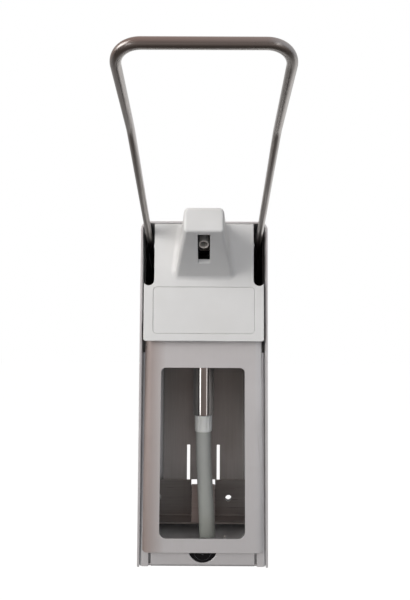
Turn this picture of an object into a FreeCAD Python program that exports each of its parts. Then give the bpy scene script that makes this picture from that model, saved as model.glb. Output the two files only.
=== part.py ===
import FreeCAD, Part
import math
import os

V = FreeCAD.Vector
os.makedirs("parts", exist_ok=True)

# Driving dimensions in millimetres
# X runs to the right, Y into the wall, Z up. While a piece is made, Z is counted
# from the housing's lower edge and Y from the wall. save() then moves each piece
# so that the origin is midway between the two upper wall screws.
HOUSING_W = 92.0
HOUSING_H = 245.0
HOUSING_D = 78.0
SHEET = 1.6
TOP_BEND_R = 6.0
SHEET_FIT = 0.1
INNER = HOUSING_W / 2 - SHEET
BACK_FLANGE = 14.0
BASE_FRONT_Y = 0.4 - HOUSING_D

WALL_SCREW_X = 21.5
WALL_SCREW_Z = 225.0
LOW_SCREW_Z = 22.6
WALL_HOLE_R = 2.7

RIVET_R = 1.6
RIVET_HOLE_R = 1.65
BACK_RIVETS = [(-8.0, 45.0), (-8.0, 120.0), (-8.0, 228.0)]
BASE_RIVET = (-38.0, 6.0)
RAIL_RIVET_Z = (30.0, 125.0)
LINER_RIVET = (26.0, 156.0)
REST_RIVET = (39.0, 23.5)

LINER_HALF = 34.6
LINER_Y = -5.2
LINER_Z = (37.9, 165.0)
LINER_SHEET = 0.8
REST_HALF = 42.4
REST_Y = -5.4
REST_SHEET = 1.0
REST_Z = (7.2, 38.1)
SHELF_Y = -21.5
TONGUE_HALF = 9.65
TONGUE_TOP = 34.6

FLANGE_HALF = 36.5
FLANGE_H = 17.7
RAIL_INNER = 38.2
RAIL_FRONT_Y = -77.3
RAIL_DEPTH = 15.0
RAIL_SHEET = 1.5
RAIL_TOP = 150.0

COVER_HALF = 43.0
COVER_FACE_Y = -81.0
COVER_BACK_Y = -66.0
COVER_Z = (158.3, 242.5)
COVER_WALL = 2.0
SLOT_X = 39.6
SLOT_R = 4.0
SLOT_Z = 202.0
HOOD_TIP_Y = -128.0
HOOD_WALL = 2.0
HOOD_ROOT = (15.6, 21.2, 242.5, 203.4)
HOOD_TIP = (12.6, 12.4, 243.3, 228.0)
HOOD_EDGE_R = 3.4
HOOD_TIP_ROUND = 2.2
HOOD_SEAM_R = 4.6
NOZZLE_SLOT = (4.0, -124.7, -96.6)
LABEL_HALF = 36.2
LABEL_Z = (163.6, 196.9)
LABEL_R = 2.7
LABEL_DEPTH = 0.8
LABEL_GAP = 0.25
COVER_SCREW = (28.0, -75.6)

PANEL_HALF = 42.4
PANEL_SHEET = 1.2
PANEL_FOOT = (-80.5, 11.0)
PANEL_LEN = 151.1
PANEL_LEAN = 2.1
PANEL_EDGE_R = 9.0
PANEL_EDGE_TURN = 40.0
WINDOW_SHIFT = -0.4
WINDOW_HALF = 30.1
WINDOW_Z = (9.4, 128.1)
WINDOW_R = (4.8, 3.6)
HINGE_Y = -68.3
HINGE_Z = 160.5
HINGE_R = 2.5
STUD_TAIL_R = 2.0
HOOK_X = (15.4, 16.6)

LEVER_HALF = 40.0
PIVOT_Y = -14.0
PIVOT_Z = 205.0
PIVOT_R = 3.0
PIN_TAIL_R = 2.0
ARM_THICK = 4.4
ARM_TALL = 5.8
ROD_R = 2.6
ARM_RISE = 24.9
FRONT_RISE = 14.2
KINK_Y = -167.6
BAR_Y = -225.0
CORNER_R = 13.0
KINK_R = 30.0
EYE_R = 5.0

DRIVE_RADIUS = 26.7
DRIVE_ANGLE = 13.0
DRIVE_PIN_R = 2.5

PUMP_Y = -38.5
CARRIER_Z = (168.0, 171.5)
CARRIER_SCREWS = [(24.0, 182.0), (24.0, 206.0)]
CARRIER_BACK_Y = -4.6
CYL_R = 8.4
CYL_BORE_R = 7.6
CYL_Z = 99.2
VALVE_Z = 86.2
VALVE_R = 6.9
ROD_OUT_R = 3.5
ROD_BORE_R = 2.2
ROD_Z = (144.0, 206.0)
HEAD_Z = (196.0, 237.0)
HEAD_R = 10.0
OUTLET_Z = 232.0
OUTLET_R = 3.25
OUTLET_BORE_R = 2.55
OUTLET_DIP = 51.0
OUTLET_END = (-115.0, 221.8)
OUTLET_BEND_R = 14.0
SPRING_R = 4.4
SPRING_WIRE = 0.9
SPRING_TURNS = 6
SPRING_FLATS = 6
SPRING_FOOT = 103.0
CAP_GRIPS = 12
BALL_R = 2.5
SEAT_R = 2.0
SEAT_RISE = 6.0
SEAL_SEAT_R = 5.9
CLIP_SEAT_R = 9.0

DIP_R = 6.0
DIP_BORE_R = 4.5
DIP_ROUTE = [(0.0, -38.5, 89.2), (0.0, -38.5, 70.0), (1.9, -43.6, 39.0), (3.6, -54.6, 10.4)]

LOCK_Z = 10.7
NOTCH_Z = 13.2
NOTCH_R = 10.35
LOCK_FACE_Y = BASE_FRONT_Y + 0.5
LOCK_RIVET = (12.4, 15.3)
BARREL_R = 6.3
SPINDLE_R = 4.5
CAM_Y = LOCK_FACE_Y + 7.45
CAM_SHEET = 1.8
CAM_REACH = 18.0
CAM_ANGLE = 75.0
CAM_SQUARE = 2.4


def save(shape, node):
    solid = shape.removeSplitter()
    solid.translate(V(0, 0, -WALL_SCREW_Z))
    solid.exportStep("parts/%s.step" % node)
    print(node, "solids", len(solid.Solids), "volume", round(solid.Volume, 1), "valid", solid.isValid())


def fuse(*shapes):
    whole = shapes[0]
    for shape in shapes[1:]:
        whole = whole.fuse(shape)
    return whole


def block(x0, x1, y0, y1, z0, z1):
    return Part.makeBox(x1 - x0, y1 - y0, z1 - z0, V(x0, y0, z0))


def side_block(side, near, far, y0, y1, z0, z1):
    """Block from near to far off the middle plane, on the left (-1) or right (1) side."""
    x0, x1 = sorted((side * near, side * far))
    return block(x0, x1, y0, y1, z0, z1)


def rod(start, axis, radius, length):
    return Part.makeCylinder(radius, length, V(*start), V(*axis))


def tube(start, axis, outer, inner, length):
    return rod(start, axis, outer, length).cut(rod(start, axis, inner, length))


def wall_bore(x, z, radius):
    """Drill through the sheets at the housing's back."""
    return rod((x, -BACK_FLANGE / 2, z), (0, 1, 0), radius, BACK_FLANGE)


def side_bore(side, y, z, radius):
    """Drill through one side of the housing."""
    return rod((side * RAIL_INNER, y, z), (side, 0, 0), radius, HOUSING_W / 2 - RAIL_INNER + 1.0)


def outline(points, plane, at):
    """Closed wire through (u, v, corner radius) points in the plane XY, XZ or YZ."""
    place = {
        "XY": lambda u, v: V(u, v, at),
        "XZ": lambda u, v: V(u, at, v),
        "YZ": lambda u, v: V(at, u, v),
    }[plane]
    count = len(points)
    corners = []
    for i, (u, v, radius) in enumerate(points):
        here = place(u, v)
        back = (place(*points[i - 1][:2]) - here).normalize()
        ahead = (place(*points[(i + 1) % count][:2]) - here).normalize()
        if radius <= 0:
            corners.append((here, None, here))
            continue
        half = back.getAngle(ahead) / 2
        reach = radius / math.tan(half)
        inward = (back + ahead).normalize()
        middle = here + inward * (radius / math.sin(half) - radius)
        corners.append((here + back * reach, middle, here + ahead * reach))
    edges = []
    for i, (start, middle, end) in enumerate(corners):
        if middle is not None:
            edges.append(Part.Arc(start, middle, end).toShape())
        follower = corners[(i + 1) % count][0]
        if end.distanceToPoint(follower) > 1e-6:
            edges.append(Part.LineSegment(end, follower).toShape())
    return Part.Wire(edges)


def plate(points, plane, start, end):
    """Flat profile drawn at start and drawn out to end along the plane's normal."""
    run = {"XY": V(0, 0, 1), "XZ": V(0, 1, 0), "YZ": V(1, 0, 0)}[plane]
    return Part.Face(outline(points, plane, start)).extrude(run * (end - start))


def side_plate(points, side, near, far):
    """Flat profile in YZ, from near to far off the middle plane on one side."""
    x0, x1 = sorted((side * near, side * far))
    return plate(points, "YZ", x0, x1)


def rounded(u0, u1, v0, v1, low_r, high_r=None):
    """Rectangle with one corner radius, or with a second one for its upper corners."""
    top_r = low_r if high_r is None else high_r
    return [(u0, v0, low_r), (u1, v0, low_r), (u1, v1, top_r), (u0, v1, top_r)]


def bent_strip(path, thickness, inner_r):
    """Profile of a bent sheet: path is its right-hand face, the sheet lies to its left."""
    normals = []
    for (u0, v0), (u1, v1) in zip(path, path[1:]):
        length = math.hypot(u1 - u0, v1 - v0)
        normals.append((-(v1 - v0) / length, (u1 - u0) / length))
    near = []
    far = []
    for i, (u, v) in enumerate(path):
        before = normals[max(i - 1, 0)]
        after = normals[min(i, len(normals) - 1)]
        scale = thickness / (1 + before[0] * after[0] + before[1] * after[1])
        turn = before[0] * after[1] - before[1] * after[0]
        shift = ((before[0] + after[0]) * scale, (before[1] + after[1]) * scale)
        if abs(turn) < 1e-9:
            radii = (0, 0)
        elif turn > 0:
            radii = (inner_r + thickness, inner_r)
        else:
            radii = (inner_r, inner_r + thickness)
        near.append((u, v, radii[0]))
        far.append((u + shift[0], v + shift[1], radii[1]))
    return near + far[::-1]


def turned(profile, centre, axis=(0, 0, 1)):
    """Solid of revolution about +Z through (radius, height) points, laid along axis at centre."""
    points = [V(r, 0, h) for r, h in profile]
    face = Part.Face(Part.makePolygon(points + points[:1]))
    solid = face.revolve(V(0, 0, 0), V(0, 0, 1), 360)
    solid.Placement = FreeCAD.Placement(V(*centre), FreeCAD.Rotation(V(0, 0, 1), V(*axis)))
    return solid


def pan_screw(centre, axis, shank_r, length, head_r, head_h):
    """Screw whose head stands on centre, with its shank running along -axis."""
    profile = [(0, -length), (shank_r, -length), (shank_r, 0), (head_r, 0), (head_r, head_h * 0.5),
               (head_r * 0.7, head_h), (0, head_h)]
    return turned(profile, centre, axis)


def lean(shape):
    """Tips a piece drawn upright on the panel's foot line back to the panel's slope."""
    tipped = shape.copy()
    tipped.rotate(V(0, 0, 0), V(1, 0, 0), -PANEL_LEAN)
    tipped.translate(V(0, PANEL_FOOT[0], PANEL_FOOT[1]))
    return tipped


# Housing: one sheet wrapped up the left side, over the top and down the right side
def housing_shell():
    half = HOUSING_W / 2
    path = [(half, 0), (half, HOUSING_H), (-half, HOUSING_H), (-half, 0)]
    wrap = plate(bent_strip(path, SHEET, TOP_BEND_R - SHEET), "XZ", -HOUSING_D, 0)
    sink_r = 3.1
    sink_depth = 1.0
    sink = [(0, -2 * SHEET), (RIVET_HOLE_R, -2 * SHEET), (RIVET_HOLE_R, -sink_depth), (sink_r, SHEET_FIT),
            (0, SHEET_FIT)]
    for side in (-1, 1):
        for y, z in rivet_places():
            wrap = wrap.cut(turned(sink, (side * half, y, z), (side, 0, 0)))
        wrap = wrap.cut(side_bore(side, HINGE_Y, HINGE_Z, STUD_TAIL_R + 0.05))
    return wrap


def rivet_places():
    """Y and Z of the countersunk rivets on each side: back tray, base plate, then front rail."""
    slope = math.tan(math.radians(PANEL_LEAN))
    rails = [(RAIL_FRONT_Y + RAIL_DEPTH / 2 + z * slope, z) for z in RAIL_RIVET_Z]
    return BACK_RIVETS + [BASE_RIVET] + rails


def housing_rivets():
    grip = 2 * SHEET + SHEET_FIT
    tail_r = 2.3
    tail = 0.6
    head_r = 2.85
    head_depth = 0.95
    profile = [(0, -grip - tail), (tail_r, -grip - tail), (tail_r, -grip), (RIVET_R, -grip),
               (RIVET_R, -head_depth), (head_r, 0), (0, 0)]
    rivets = []
    for side in (-1, 1):
        for y, z in rivet_places():
            rivets.append(turned(profile, (side * HOUSING_W / 2, y, z), (side, 0, 0)))
    return Part.makeCompound(rivets)


def back_wall():
    half = INNER - SHEET_FIT
    top = HOUSING_H - SHEET - 0.2
    low = 0.2
    path = [(half, -BACK_FLANGE), (half, 0), (-half, 0), (-half, -BACK_FLANGE)]
    tray = plate(bent_strip(path, SHEET, 1.2), "XY", low, top)
    corner = TOP_BEND_R - SHEET + 0.2
    tray = tray.common(plate(rounded(-half, half, low, top, 0, corner), "XZ", -HOUSING_D, 1))
    flange_low = 4.0
    flange_top = 236.0
    tray = tray.cut(block(-half, half, -BACK_FLANGE - 1, -SHEET - 0.01, 0, flange_low))
    tray = tray.cut(block(-half, half, -BACK_FLANGE - 1, -SHEET - 0.01, flange_top, HOUSING_H))
    for side in (-1, 1):
        tray = tray.cut(wall_bore(side * WALL_SCREW_X, WALL_SCREW_Z, WALL_HOLE_R))
        for x, z in [REST_RIVET, LINER_RIVET] + CARRIER_SCREWS:
            tray = tray.cut(wall_bore(side * x, z, RIVET_HOLE_R))
        for y, z in BACK_RIVETS:
            tray = tray.cut(side_bore(side, y, z, RIVET_HOLE_R))
    tray = tray.cut(wall_bore(WALL_SCREW_X, LOW_SCREW_Z, WALL_HOLE_R))
    opening = rounded(-14.4, 14.4, 32.0, 68.4, 2.0)
    return tray.cut(plate(opening, "XZ", -BACK_FLANGE, 1))


def base_plate():
    """Floor and low front flange, with a round notch for the lock and corners cut out round the rails."""
    half = INNER - SHEET_FIT
    path = [(BASE_FRONT_Y, FLANGE_H), (BASE_FRONT_Y, 0), (-SHEET - 0.2, 0)]
    tray = plate(bent_strip(path, SHEET, 0.6), "YZ", -half, half)
    rail_back = RAIL_FRONT_Y + RAIL_SHEET + 0.4
    rail_end = RAIL_FRONT_Y + RAIL_DEPTH + 2.3
    over = FLANGE_H + 1
    for side in (-1, 1):
        tray = tray.cut(side_block(side, FLANGE_HALF, HOUSING_W, -HOUSING_D - 1, rail_back, -1, over))
        tray = tray.cut(side_block(side, half - RAIL_SHEET - 0.3, HOUSING_W, -HOUSING_D, rail_end, -1, over))
        ear = side_block(side, half - SHEET, half, -58.0, -16.0, SHEET, 10.0)
        tray = tray.fuse(ear).cut(side_bore(side, *BASE_RIVET, RIVET_HOLE_R))
        tray = tray.cut(flange_bore(side * LOCK_RIVET[0], LOCK_RIVET[1], 1.05))
    tray = tray.cut(flange_bore(0, NOTCH_Z, NOTCH_R))
    tray = tray.cut(block(-NOTCH_R, NOTCH_R, -HOUSING_D - 1, BASE_FRONT_Y + 2 * SHEET, NOTCH_Z, over))
    low = 11.5
    hook_gap = block(HOOK_X[0] - 0.9, HOOK_X[1] + 1.0, -HOUSING_D - 1, BASE_FRONT_Y + 2 * SHEET, low, over)
    return tray.cut(hook_gap)


def flange_bore(x, z, radius):
    """Drill through the base plate's front flange and the lock's back plate."""
    return rod((x, -HOUSING_D - 1, z), (0, 1, 0), radius, 2 * SHEET + 2.5)


def rail(side):
    """Angle behind the panel's edge: its front leg follows the panel's slope."""
    leg = INNER - SHEET_FIT
    path = [(side * RAIL_INNER, 0), (side * leg, 0), (side * leg, RAIL_DEPTH)]
    profile = bent_strip(path if side > 0 else path[::-1], RAIL_SHEET, 0.8)
    angle = plate(profile, "XY", -3.0, RAIL_TOP)
    angle.rotate(V(0, 0, 0), V(1, 0, 0), -PANEL_LEAN)
    angle.translate(V(0, RAIL_FRONT_Y, 0))
    angle = angle.common(block(-HOUSING_W, HOUSING_W, -HOUSING_D, 0, 0.2, RAIL_TOP))
    for y, z in rivet_places()[-2:]:
        angle = angle.cut(side_bore(side, y, z, RIVET_HOLE_R))
    return angle


# Stainless sheets behind the bottle
def back_liner():
    path = [(LINER_HALF, -SHEET), (LINER_HALF, LINER_Y), (-LINER_HALF, LINER_Y), (-LINER_HALF, -SHEET)]
    liner = plate(bent_strip(path[::-1], LINER_SHEET, 0.5), "XY", *LINER_Z)
    slot_x = (11.4, 14.0)
    slot_top = 67.2
    for side in (-1, 1):
        low, high = sorted((side * slot_x[0], side * slot_x[1]))
        liner = liner.cut(plate(rounded(low, high, LINER_Z[0] - 10, slot_top, 0.4), "XZ", 2 * LINER_Y, 0))
        liner = liner.cut(wall_bore(side * LINER_RIVET[0], LINER_RIVET[1], RIVET_HOLE_R))
    return liner


def liner_rivets():
    profile = [(0, -5.1), (RIVET_R, -5.1), (RIVET_R, 0), (3.1, 0), (2.6, 0.7), (1.5, 1.0), (0, 1.0)]
    places = [(side * LINER_RIVET[0], LINER_Y, LINER_RIVET[1]) for side in (-1, 1)]
    return Part.makeCompound([turned(profile, place, (0, -1, 0)) for place in places])


def bottle_rest():
    """Shelf bracket behind the bottle's foot, with a sloping tongue bent out of its upright."""
    path = [(REST_Y, REST_Z[1]), (REST_Y, REST_Z[0]), (SHELF_Y, REST_Z[0])]
    rest = plate(bent_strip(path[::-1], REST_SHEET, 1.0), "YZ", -REST_HALF, REST_HALF)
    half = TONGUE_HALF + 0.4
    rest = rest.cut(block(-half, half, REST_Y - 2.0, REST_Y + 1.0, REST_Z[0] + 2.2, REST_Z[1] + 1))
    foot = REST_Z[0] + 0.1
    tongue_sheet = 1.1
    top_y = REST_Y - 2.3
    slope = [(SHELF_Y, foot, 0), (SHELF_Y + tongue_sheet, foot, 0), (top_y + tongue_sheet, TONGUE_TOP, 0),
             (top_y, TONGUE_TOP, 0)]
    rest = rest.fuse(plate(slope, "YZ", -TONGUE_HALF, TONGUE_HALF))
    for side in (-1, 1):
        rest = rest.cut(wall_bore(side * REST_RIVET[0], REST_RIVET[1], RIVET_HOLE_R))
    return rest.cut(wall_bore(WALL_SCREW_X, LOW_SCREW_Z, WALL_HOLE_R))


def rest_rivets():
    hollow = 0.9
    profile = [(hollow, -6.3), (RIVET_R, -6.3), (RIVET_R, 0), (3.25, 0), (2.9, 0.55), (1.9, 0.95),
               (1.2, 0.95), (hollow, 0.4)]
    places = [(side * REST_RIVET[0], REST_Y - REST_SHEET, REST_RIVET[1]) for side in (-1, 1)]
    return Part.makeCompound([turned(profile, place, (0, -1, 0)) for place in places])


# White moulded cover with the hood over the outlet tube
def hood_section(y, form, radius, inset, underside):
    """Hood's outline at y: form gives its half widths at top and bottom, and its upper and lower Z."""
    half_top, half_low, top, low = form
    points = [(inset - half_top, top - inset, radius), (inset - half_low, low + underside, radius * 0.7),
              (half_low - inset, low + underside, radius * 0.7), (half_top - inset, top - inset, radius)]
    return outline(points, "XZ", y)


def hood_solid(inset):
    root_y = COVER_FACE_Y + 1.0 + inset * 2
    root = hood_section(root_y, HOOD_ROOT, HOOD_EDGE_R, inset, inset)
    tip = hood_section(HOOD_TIP_Y + inset, HOOD_TIP, HOOD_EDGE_R - inset * 0.5, inset, inset * 0.5)
    return Part.makeLoft([root, tip], True, True)


def edges_in_plane(shape, y):
    """Edges that lie flat at this distance from the wall."""
    flat = []
    for edge in shape.Edges:
        if max(abs(edge.BoundBox.YMin - y), abs(edge.BoundBox.YMax - y)) < 0.01:
            flat.append(edge)
    return flat


def lever_slots(grow, y0, y1):
    """Openings for the lever's arms, with round lower ends and open at the cover's sides."""
    radius = SLOT_R + grow
    slots = []
    for side in (-1, 1):
        slots.append(rod((side * SLOT_X, y0, SLOT_Z), (0, 1, 0), radius, y1 - y0))
        slots.append(side_block(side, SLOT_X - radius, INNER + 1.0, y0, y1, SLOT_Z, HOUSING_H))
    return fuse(*slots)


def top_cover():
    low, high = COVER_Z
    face_back = COVER_FACE_Y + COVER_WALL
    shape = rounded(-COVER_HALF, COVER_HALF, low, high, 1.8, 3.4)
    cover = plate(shape, "XZ", COVER_FACE_Y, COVER_BACK_Y)
    inner_half = COVER_HALF - COVER_WALL
    hollow = rounded(-inner_half, inner_half, low - 9, high - COVER_WALL, 0, 1.6)
    cover = cover.cut(plate(hollow, "XZ", face_back, 0))
    cover = cover.cut(block(-COVER_HALF, COVER_HALF, face_back, 0, low - 1, CARRIER_Z[1] + 0.3))
    collar_depth = 8.0
    collar = lever_slots(1.8, COVER_FACE_Y + 1.0, COVER_FACE_Y + collar_depth)
    cover = cover.fuse(collar.common(plate(shape, "XZ", COVER_FACE_Y, COVER_BACK_Y)))
    cover = cover.cut(lever_slots(0, COVER_FACE_Y - 1, 0))
    cover = soften(cover.fuse(hood_solid(0)))
    cover = cover.cut(hood_solid(HOOD_WALL))
    half, front, rear = NOZZLE_SLOT
    slot = rounded(-half, half, front, rear, 0.8)
    cover = cover.cut(plate(slot, "XY", SLOT_Z, HOOD_TIP[2] - 3 * HOOD_WALL))
    recess = rounded(-LABEL_HALF, LABEL_HALF, *LABEL_Z, LABEL_R)
    cover = cover.cut(plate(recess, "XZ", COVER_FACE_Y - 1, COVER_FACE_Y + LABEL_DEPTH))
    for side in (-1, 1):
        cover = cover.fuse(screw_boss(side))
        cover = cover.cut(rod((side * COVER_SCREW[0], COVER_SCREW[1], CARRIER_Z[0]), (0, 0, 1), 1.3, 14.0))
    return cover


def screw_boss(side):
    """Post inside the cover that stands on the carrier, with a rib to the face."""
    x, y = COVER_SCREW
    height = 13.0
    post = rod((side * x, y, CARRIER_Z[1]), (0, 0, 1), 3.6, height)
    rib = side_block(side, x - 0.8, x + 0.8, COVER_FACE_Y + 1.5, y, CARRIER_Z[1], CARRIER_Z[1] + height)
    return post.fuse(rib)


def soften(cover):
    """Rounds the hood's tip and the seam between hood and face."""
    cover = cover.makeFillet(HOOD_TIP_ROUND, edges_in_plane(cover, HOOD_TIP_Y))
    seam = []
    for edge in edges_in_plane(cover, COVER_FACE_Y):
        box = edge.BoundBox
        beside = max(abs(box.XMin), abs(box.XMax)) < HOOD_ROOT[1] + 4
        if beside and HOOD_ROOT[3] - 1 < box.ZMin < COVER_Z[1] - 1:
            seam.append(edge)
    return cover.makeFillet(HOOD_SEAM_R, seam)


def label_plate():
    half = LABEL_HALF - LABEL_GAP
    shape = rounded(-half, half, LABEL_Z[0] + LABEL_GAP, LABEL_Z[1] - LABEL_GAP, LABEL_R - LABEL_GAP)
    return plate(shape, "XZ", COVER_FACE_Y + 0.05, COVER_FACE_Y + LABEL_DEPTH)


def cover_screws():
    x, y = COVER_SCREW
    screws = [pan_screw((side * x, y, CARRIER_Z[0]), (0, 0, -1), 1.25, 11.5, 2.7, 1.9) for side in (-1, 1)]
    return Part.makeCompound(screws)


# Black carrier that holds the pump and the lever's pivots
def carrier_deck():
    front = -72.0
    tab = -78.6
    back = -1.8
    behind_flange = -15.6
    wide = 43.9
    narrow = 42.0
    right = [(23.0, front, 0), (23.0, tab, 1.5), (33.0, tab, 1.5), (33.0, front, 0), (wide, front, 2.0),
             (wide, behind_flange, 0), (narrow, behind_flange, 0), (narrow, back, 0)]
    left = [(-x, y, r) for x, y, r in reversed(right)]
    return plate(right + left, "XY", *CARRIER_Z)


def carrier_cheek(side):
    """Upright that carries a pivot bush, cut away where the drive pin moves."""
    deck = CARRIER_Z[1] - 0.5
    pin_low = 194.0
    top = PIVOT_Z + 10
    shape = [(-4.0, deck, 0), (-4.0, PIVOT_Z + 1, 6.0), (-10.0, top, 6.0), (-19.0, top, 6.0),
             (-24.5, PIVOT_Z + 1, 3.0), (-33.0, PIVOT_Z - 2, 2.0), (-33.0, pin_low, 1.5),
             (-47.0, pin_low, 1.5), (-47.0, pin_low + 6, 2.0), (-72.0, pin_low + 6, 6.0), (-72.0, deck, 0)]
    return side_plate(shape, side, 34.1, 36.6)


def pump_carrier():
    low, high = CARRIER_Z
    carrier = carrier_deck()
    skirt = [(-16.0, high - 0.5, 0), (-16.0, 232.0, 4.0), (-70.0, 238.0, 4.0), (-72.0, high - 0.5, 0)]
    for side in (-1, 1):
        carrier = carrier.fuse(carrier_cheek(side))
        carrier = carrier.fuse(side_plate(skirt, side, 43.0, 43.9))
    flange = rounded(-34.2, 34.2, high - 0.5, 213.0, 0)
    carrier = carrier.fuse(plate(flange, "XZ", CARRIER_BACK_Y, -1.8))
    carrier = carrier.fuse(tube((0, PUMP_Y, high - 0.2), (0, 0, 1), 16.0, 12.4, 6.2))
    carrier = carrier.cut(rod((0, PUMP_Y, low - 1), (0, 0, 1), CYL_R + 0.2, 10))
    for side in (-1, 1):
        carrier = carrier.cut(rod((side * 30, PIVOT_Y, PIVOT_Z), (side, 0, 0), 4.55, 8))
        carrier = carrier.cut(rod((side * COVER_SCREW[0], COVER_SCREW[1], low - 1), (0, 0, 1), 1.6, 6))
        for x, z in CARRIER_SCREWS:
            carrier = carrier.cut(wall_bore(side * x, z, 2.1))
        for y in (-60.0, -20.0):
            foot = high - 0.2
            brace = [(side * 34.2, foot, 0), (side * 34.2, high + 11.0, 0), (side * 23.0, foot, 0)]
            carrier = carrier.fuse(plate(brace, "XZ", y - 0.8, y + 0.8))
    return carrier


def carrier_screws():
    places = [(side * x, CARRIER_BACK_Y, z) for side in (-1, 1) for x, z in CARRIER_SCREWS]
    return Part.makeCompound([pan_screw(place, (0, -1, 0), 1.6, 4.4, 3.6, 2.3) for place in places])


def pivot_bushes():
    bore = PIVOT_R + 0.05
    profile = [(bore, 0), (4.5, 0), (4.5, 3.0), (5.6, 3.0), (5.6, 3.6), (bore, 3.6)]
    places = [(side * 33.7, PIVOT_Y, PIVOT_Z) for side in (-1, 1)]
    return Part.makeCompound([turned(profile, place, (place[0], 0, 0)) for place in places])


# Pump
def on_pump(profile):
    return turned(profile, (0, PUMP_Y, 0))


def pump_cylinder():
    """Drawn stainless barrel that hangs from a flange on the carrier's deck."""
    top = CARRIER_Z[1]
    flange_r = 11.8
    sheet = CYL_R - CYL_BORE_R
    return on_pump([(CYL_BORE_R, CYL_Z), (CYL_R, CYL_Z), (CYL_R, top), (flange_r, top),
                    (flange_r, top + sheet), (CYL_BORE_R, top + sheet)])


def pump_cap():
    base = CARRIER_Z[1] + CYL_R - CYL_BORE_R
    bore = ROD_OUT_R + 0.08
    rim_r = 15.5
    cap = on_pump([(bore, base), (12.3, base), (12.3, base + 5.3), (rim_r, base + 5.3), (rim_r, base + 7.6),
                   (rim_r - 1, base + 8.6), (bore, base + 8.6)])
    for step in range(CAP_GRIPS):
        angle = math.radians(360 / CAP_GRIPS * step)
        place = ((rim_r + 0.5) * math.cos(angle), PUMP_Y + (rim_r + 0.5) * math.sin(angle), base + 5.0)
        cap = cap.cut(rod(place, (0, 0, 1), 1.2, 4))
    return cap


def rod_seal():
    """Lip seal round the rod, in the barrel's upper end."""
    top = CARRIER_Z[1] + CYL_R - CYL_BORE_R
    inner = ROD_OUT_R + 0.05
    outer = CYL_BORE_R - 0.05
    return on_pump([(inner, top - 3.5), (outer, top - 3.5), (outer, top), (inner, top), (inner, top - 1.0),
                    (inner + 1.1, top - 1.75), (inner, top - 2.5)])


def foot_valve():
    """Translucent moulding pressed into the barrel, with a ball chamber above the tube's socket."""
    socket = DIP_ROUTE[0][2]
    plug_top = CYL_Z + 3.2
    seat = VALVE_Z + SEAT_RISE
    body = on_pump([(SEAT_R, seat), (SEAT_R - 0.3, seat - 1.4), (DIP_BORE_R, socket), (DIP_R + 0.05, socket),
                    (DIP_R + 0.05, VALVE_Z), (VALVE_R - 0.4, VALVE_Z), (VALVE_R, VALVE_Z + 2.2),
                    (VALVE_R, CYL_Z + 0.4), (CYL_BORE_R, CYL_Z + 1.0), (CYL_BORE_R, plug_top),
                    (2.1, plug_top), (2.1, plug_top - 4.2), (BALL_R + 0.6, plug_top - 4.8),
                    (BALL_R + 0.6, seat)])
    grooves = 4
    groove_r = 0.6
    groove_foot = VALVE_Z + 2.6
    away = VALVE_R + 0.15
    for step in range(grooves):
        angle = 2 * math.pi / grooves * step
        place = (away * math.cos(angle), PUMP_Y + away * math.sin(angle), groove_foot)
        body = body.cut(rod(place, (0, 0, 1), groove_r, CYL_Z - groove_foot))
    return body


def ball(seat_r, seat_z):
    """Steel ball resting just clear of the edge of a round seat."""
    return Part.makeSphere(BALL_R, V(0, PUMP_Y, seat_z + math.sqrt(BALL_R ** 2 - seat_r ** 2) + 0.05))


def dip_tube():
    """Hose swept along straight runs joined by arcs that take up to 0.45 of the shorter run."""
    points = [V(*point) for point in DIP_ROUTE]
    edges = []
    start = points[0]
    for before, corner, after in zip(points, points[1:], points[2:]):
        back = before - corner
        ahead = after - corner
        reach = 0.45 * min(back.Length, ahead.Length)
        half = (math.pi - back.getAngle(ahead)) / 2
        radius = reach / math.tan(half)
        back.normalize()
        ahead.normalize()
        middle = corner + (back + ahead).normalize() * (radius / math.cos(half) - radius)
        edges.append(Part.LineSegment(start, corner + back * reach).toShape())
        edges.append(Part.Arc(corner + back * reach, middle, corner + ahead * reach).toShape())
        start = corner + ahead * reach
        print("dip tube bend radius", round(radius, 1))
    edges.append(Part.LineSegment(start, points[-1]).toShape())
    path = Part.Wire(edges)
    solids = []
    for radius in (DIP_R, DIP_BORE_R):
        ring = Part.Wire(Part.makeCircle(radius, points[0], points[1] - points[0]))
        solids.append(path.makePipeShell([ring], True, False))
    hose = solids[0].cut(solids[1])
    section = math.pi * (DIP_R ** 2 - DIP_BORE_R ** 2)
    print("dip tube length", round(path.Length, 1), "section x length", round(section * path.Length, 1),
          "volume", round(hose.Volume, 1))
    return hose


def biarc(p0, t0, p1, t1):
    """Two tangent arcs from p0 to p1 with the given end directions."""
    chord = p1 - p0
    both = t0 + t1
    spread = 2 * (1 - t0.dot(t1))
    reach = (-chord.dot(both) + math.sqrt(chord.dot(both) ** 2 + spread * chord.dot(chord))) / spread
    first = p0 + t0 * reach
    second = p1 - t1 * reach
    joint = (first + second) * 0.5
    arcs = []
    for start, corner, end in ((p0, first, joint), (joint, second, p1)):
        half_chord = (end - start) * 0.5
        centre = start + half_chord
        rise = corner - centre
        half_turn = math.atan2(rise.Length, half_chord.Length)
        bulge = rise.normalize() * (half_chord.Length * math.tan(half_turn / 2))
        arcs.append(Part.Arc(start, centre + bulge, end))
    return [arc.toShape() for arc in arcs]


def wire_along(edge, corners):
    """Piece of wire that follows one arc, and its section's corners at the far end."""
    centre = edge.Curve.Center
    turn = math.degrees(edge.LastParameter - edge.FirstParameter)
    piece = Part.Face(Part.makePolygon(corners + corners[:1])).revolve(centre, edge.Curve.Axis, turn)
    rotation = FreeCAD.Rotation(edge.Curve.Axis, turn)
    return piece, [centre + rotation.multVec(corner - centre) for corner in corners]


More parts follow.
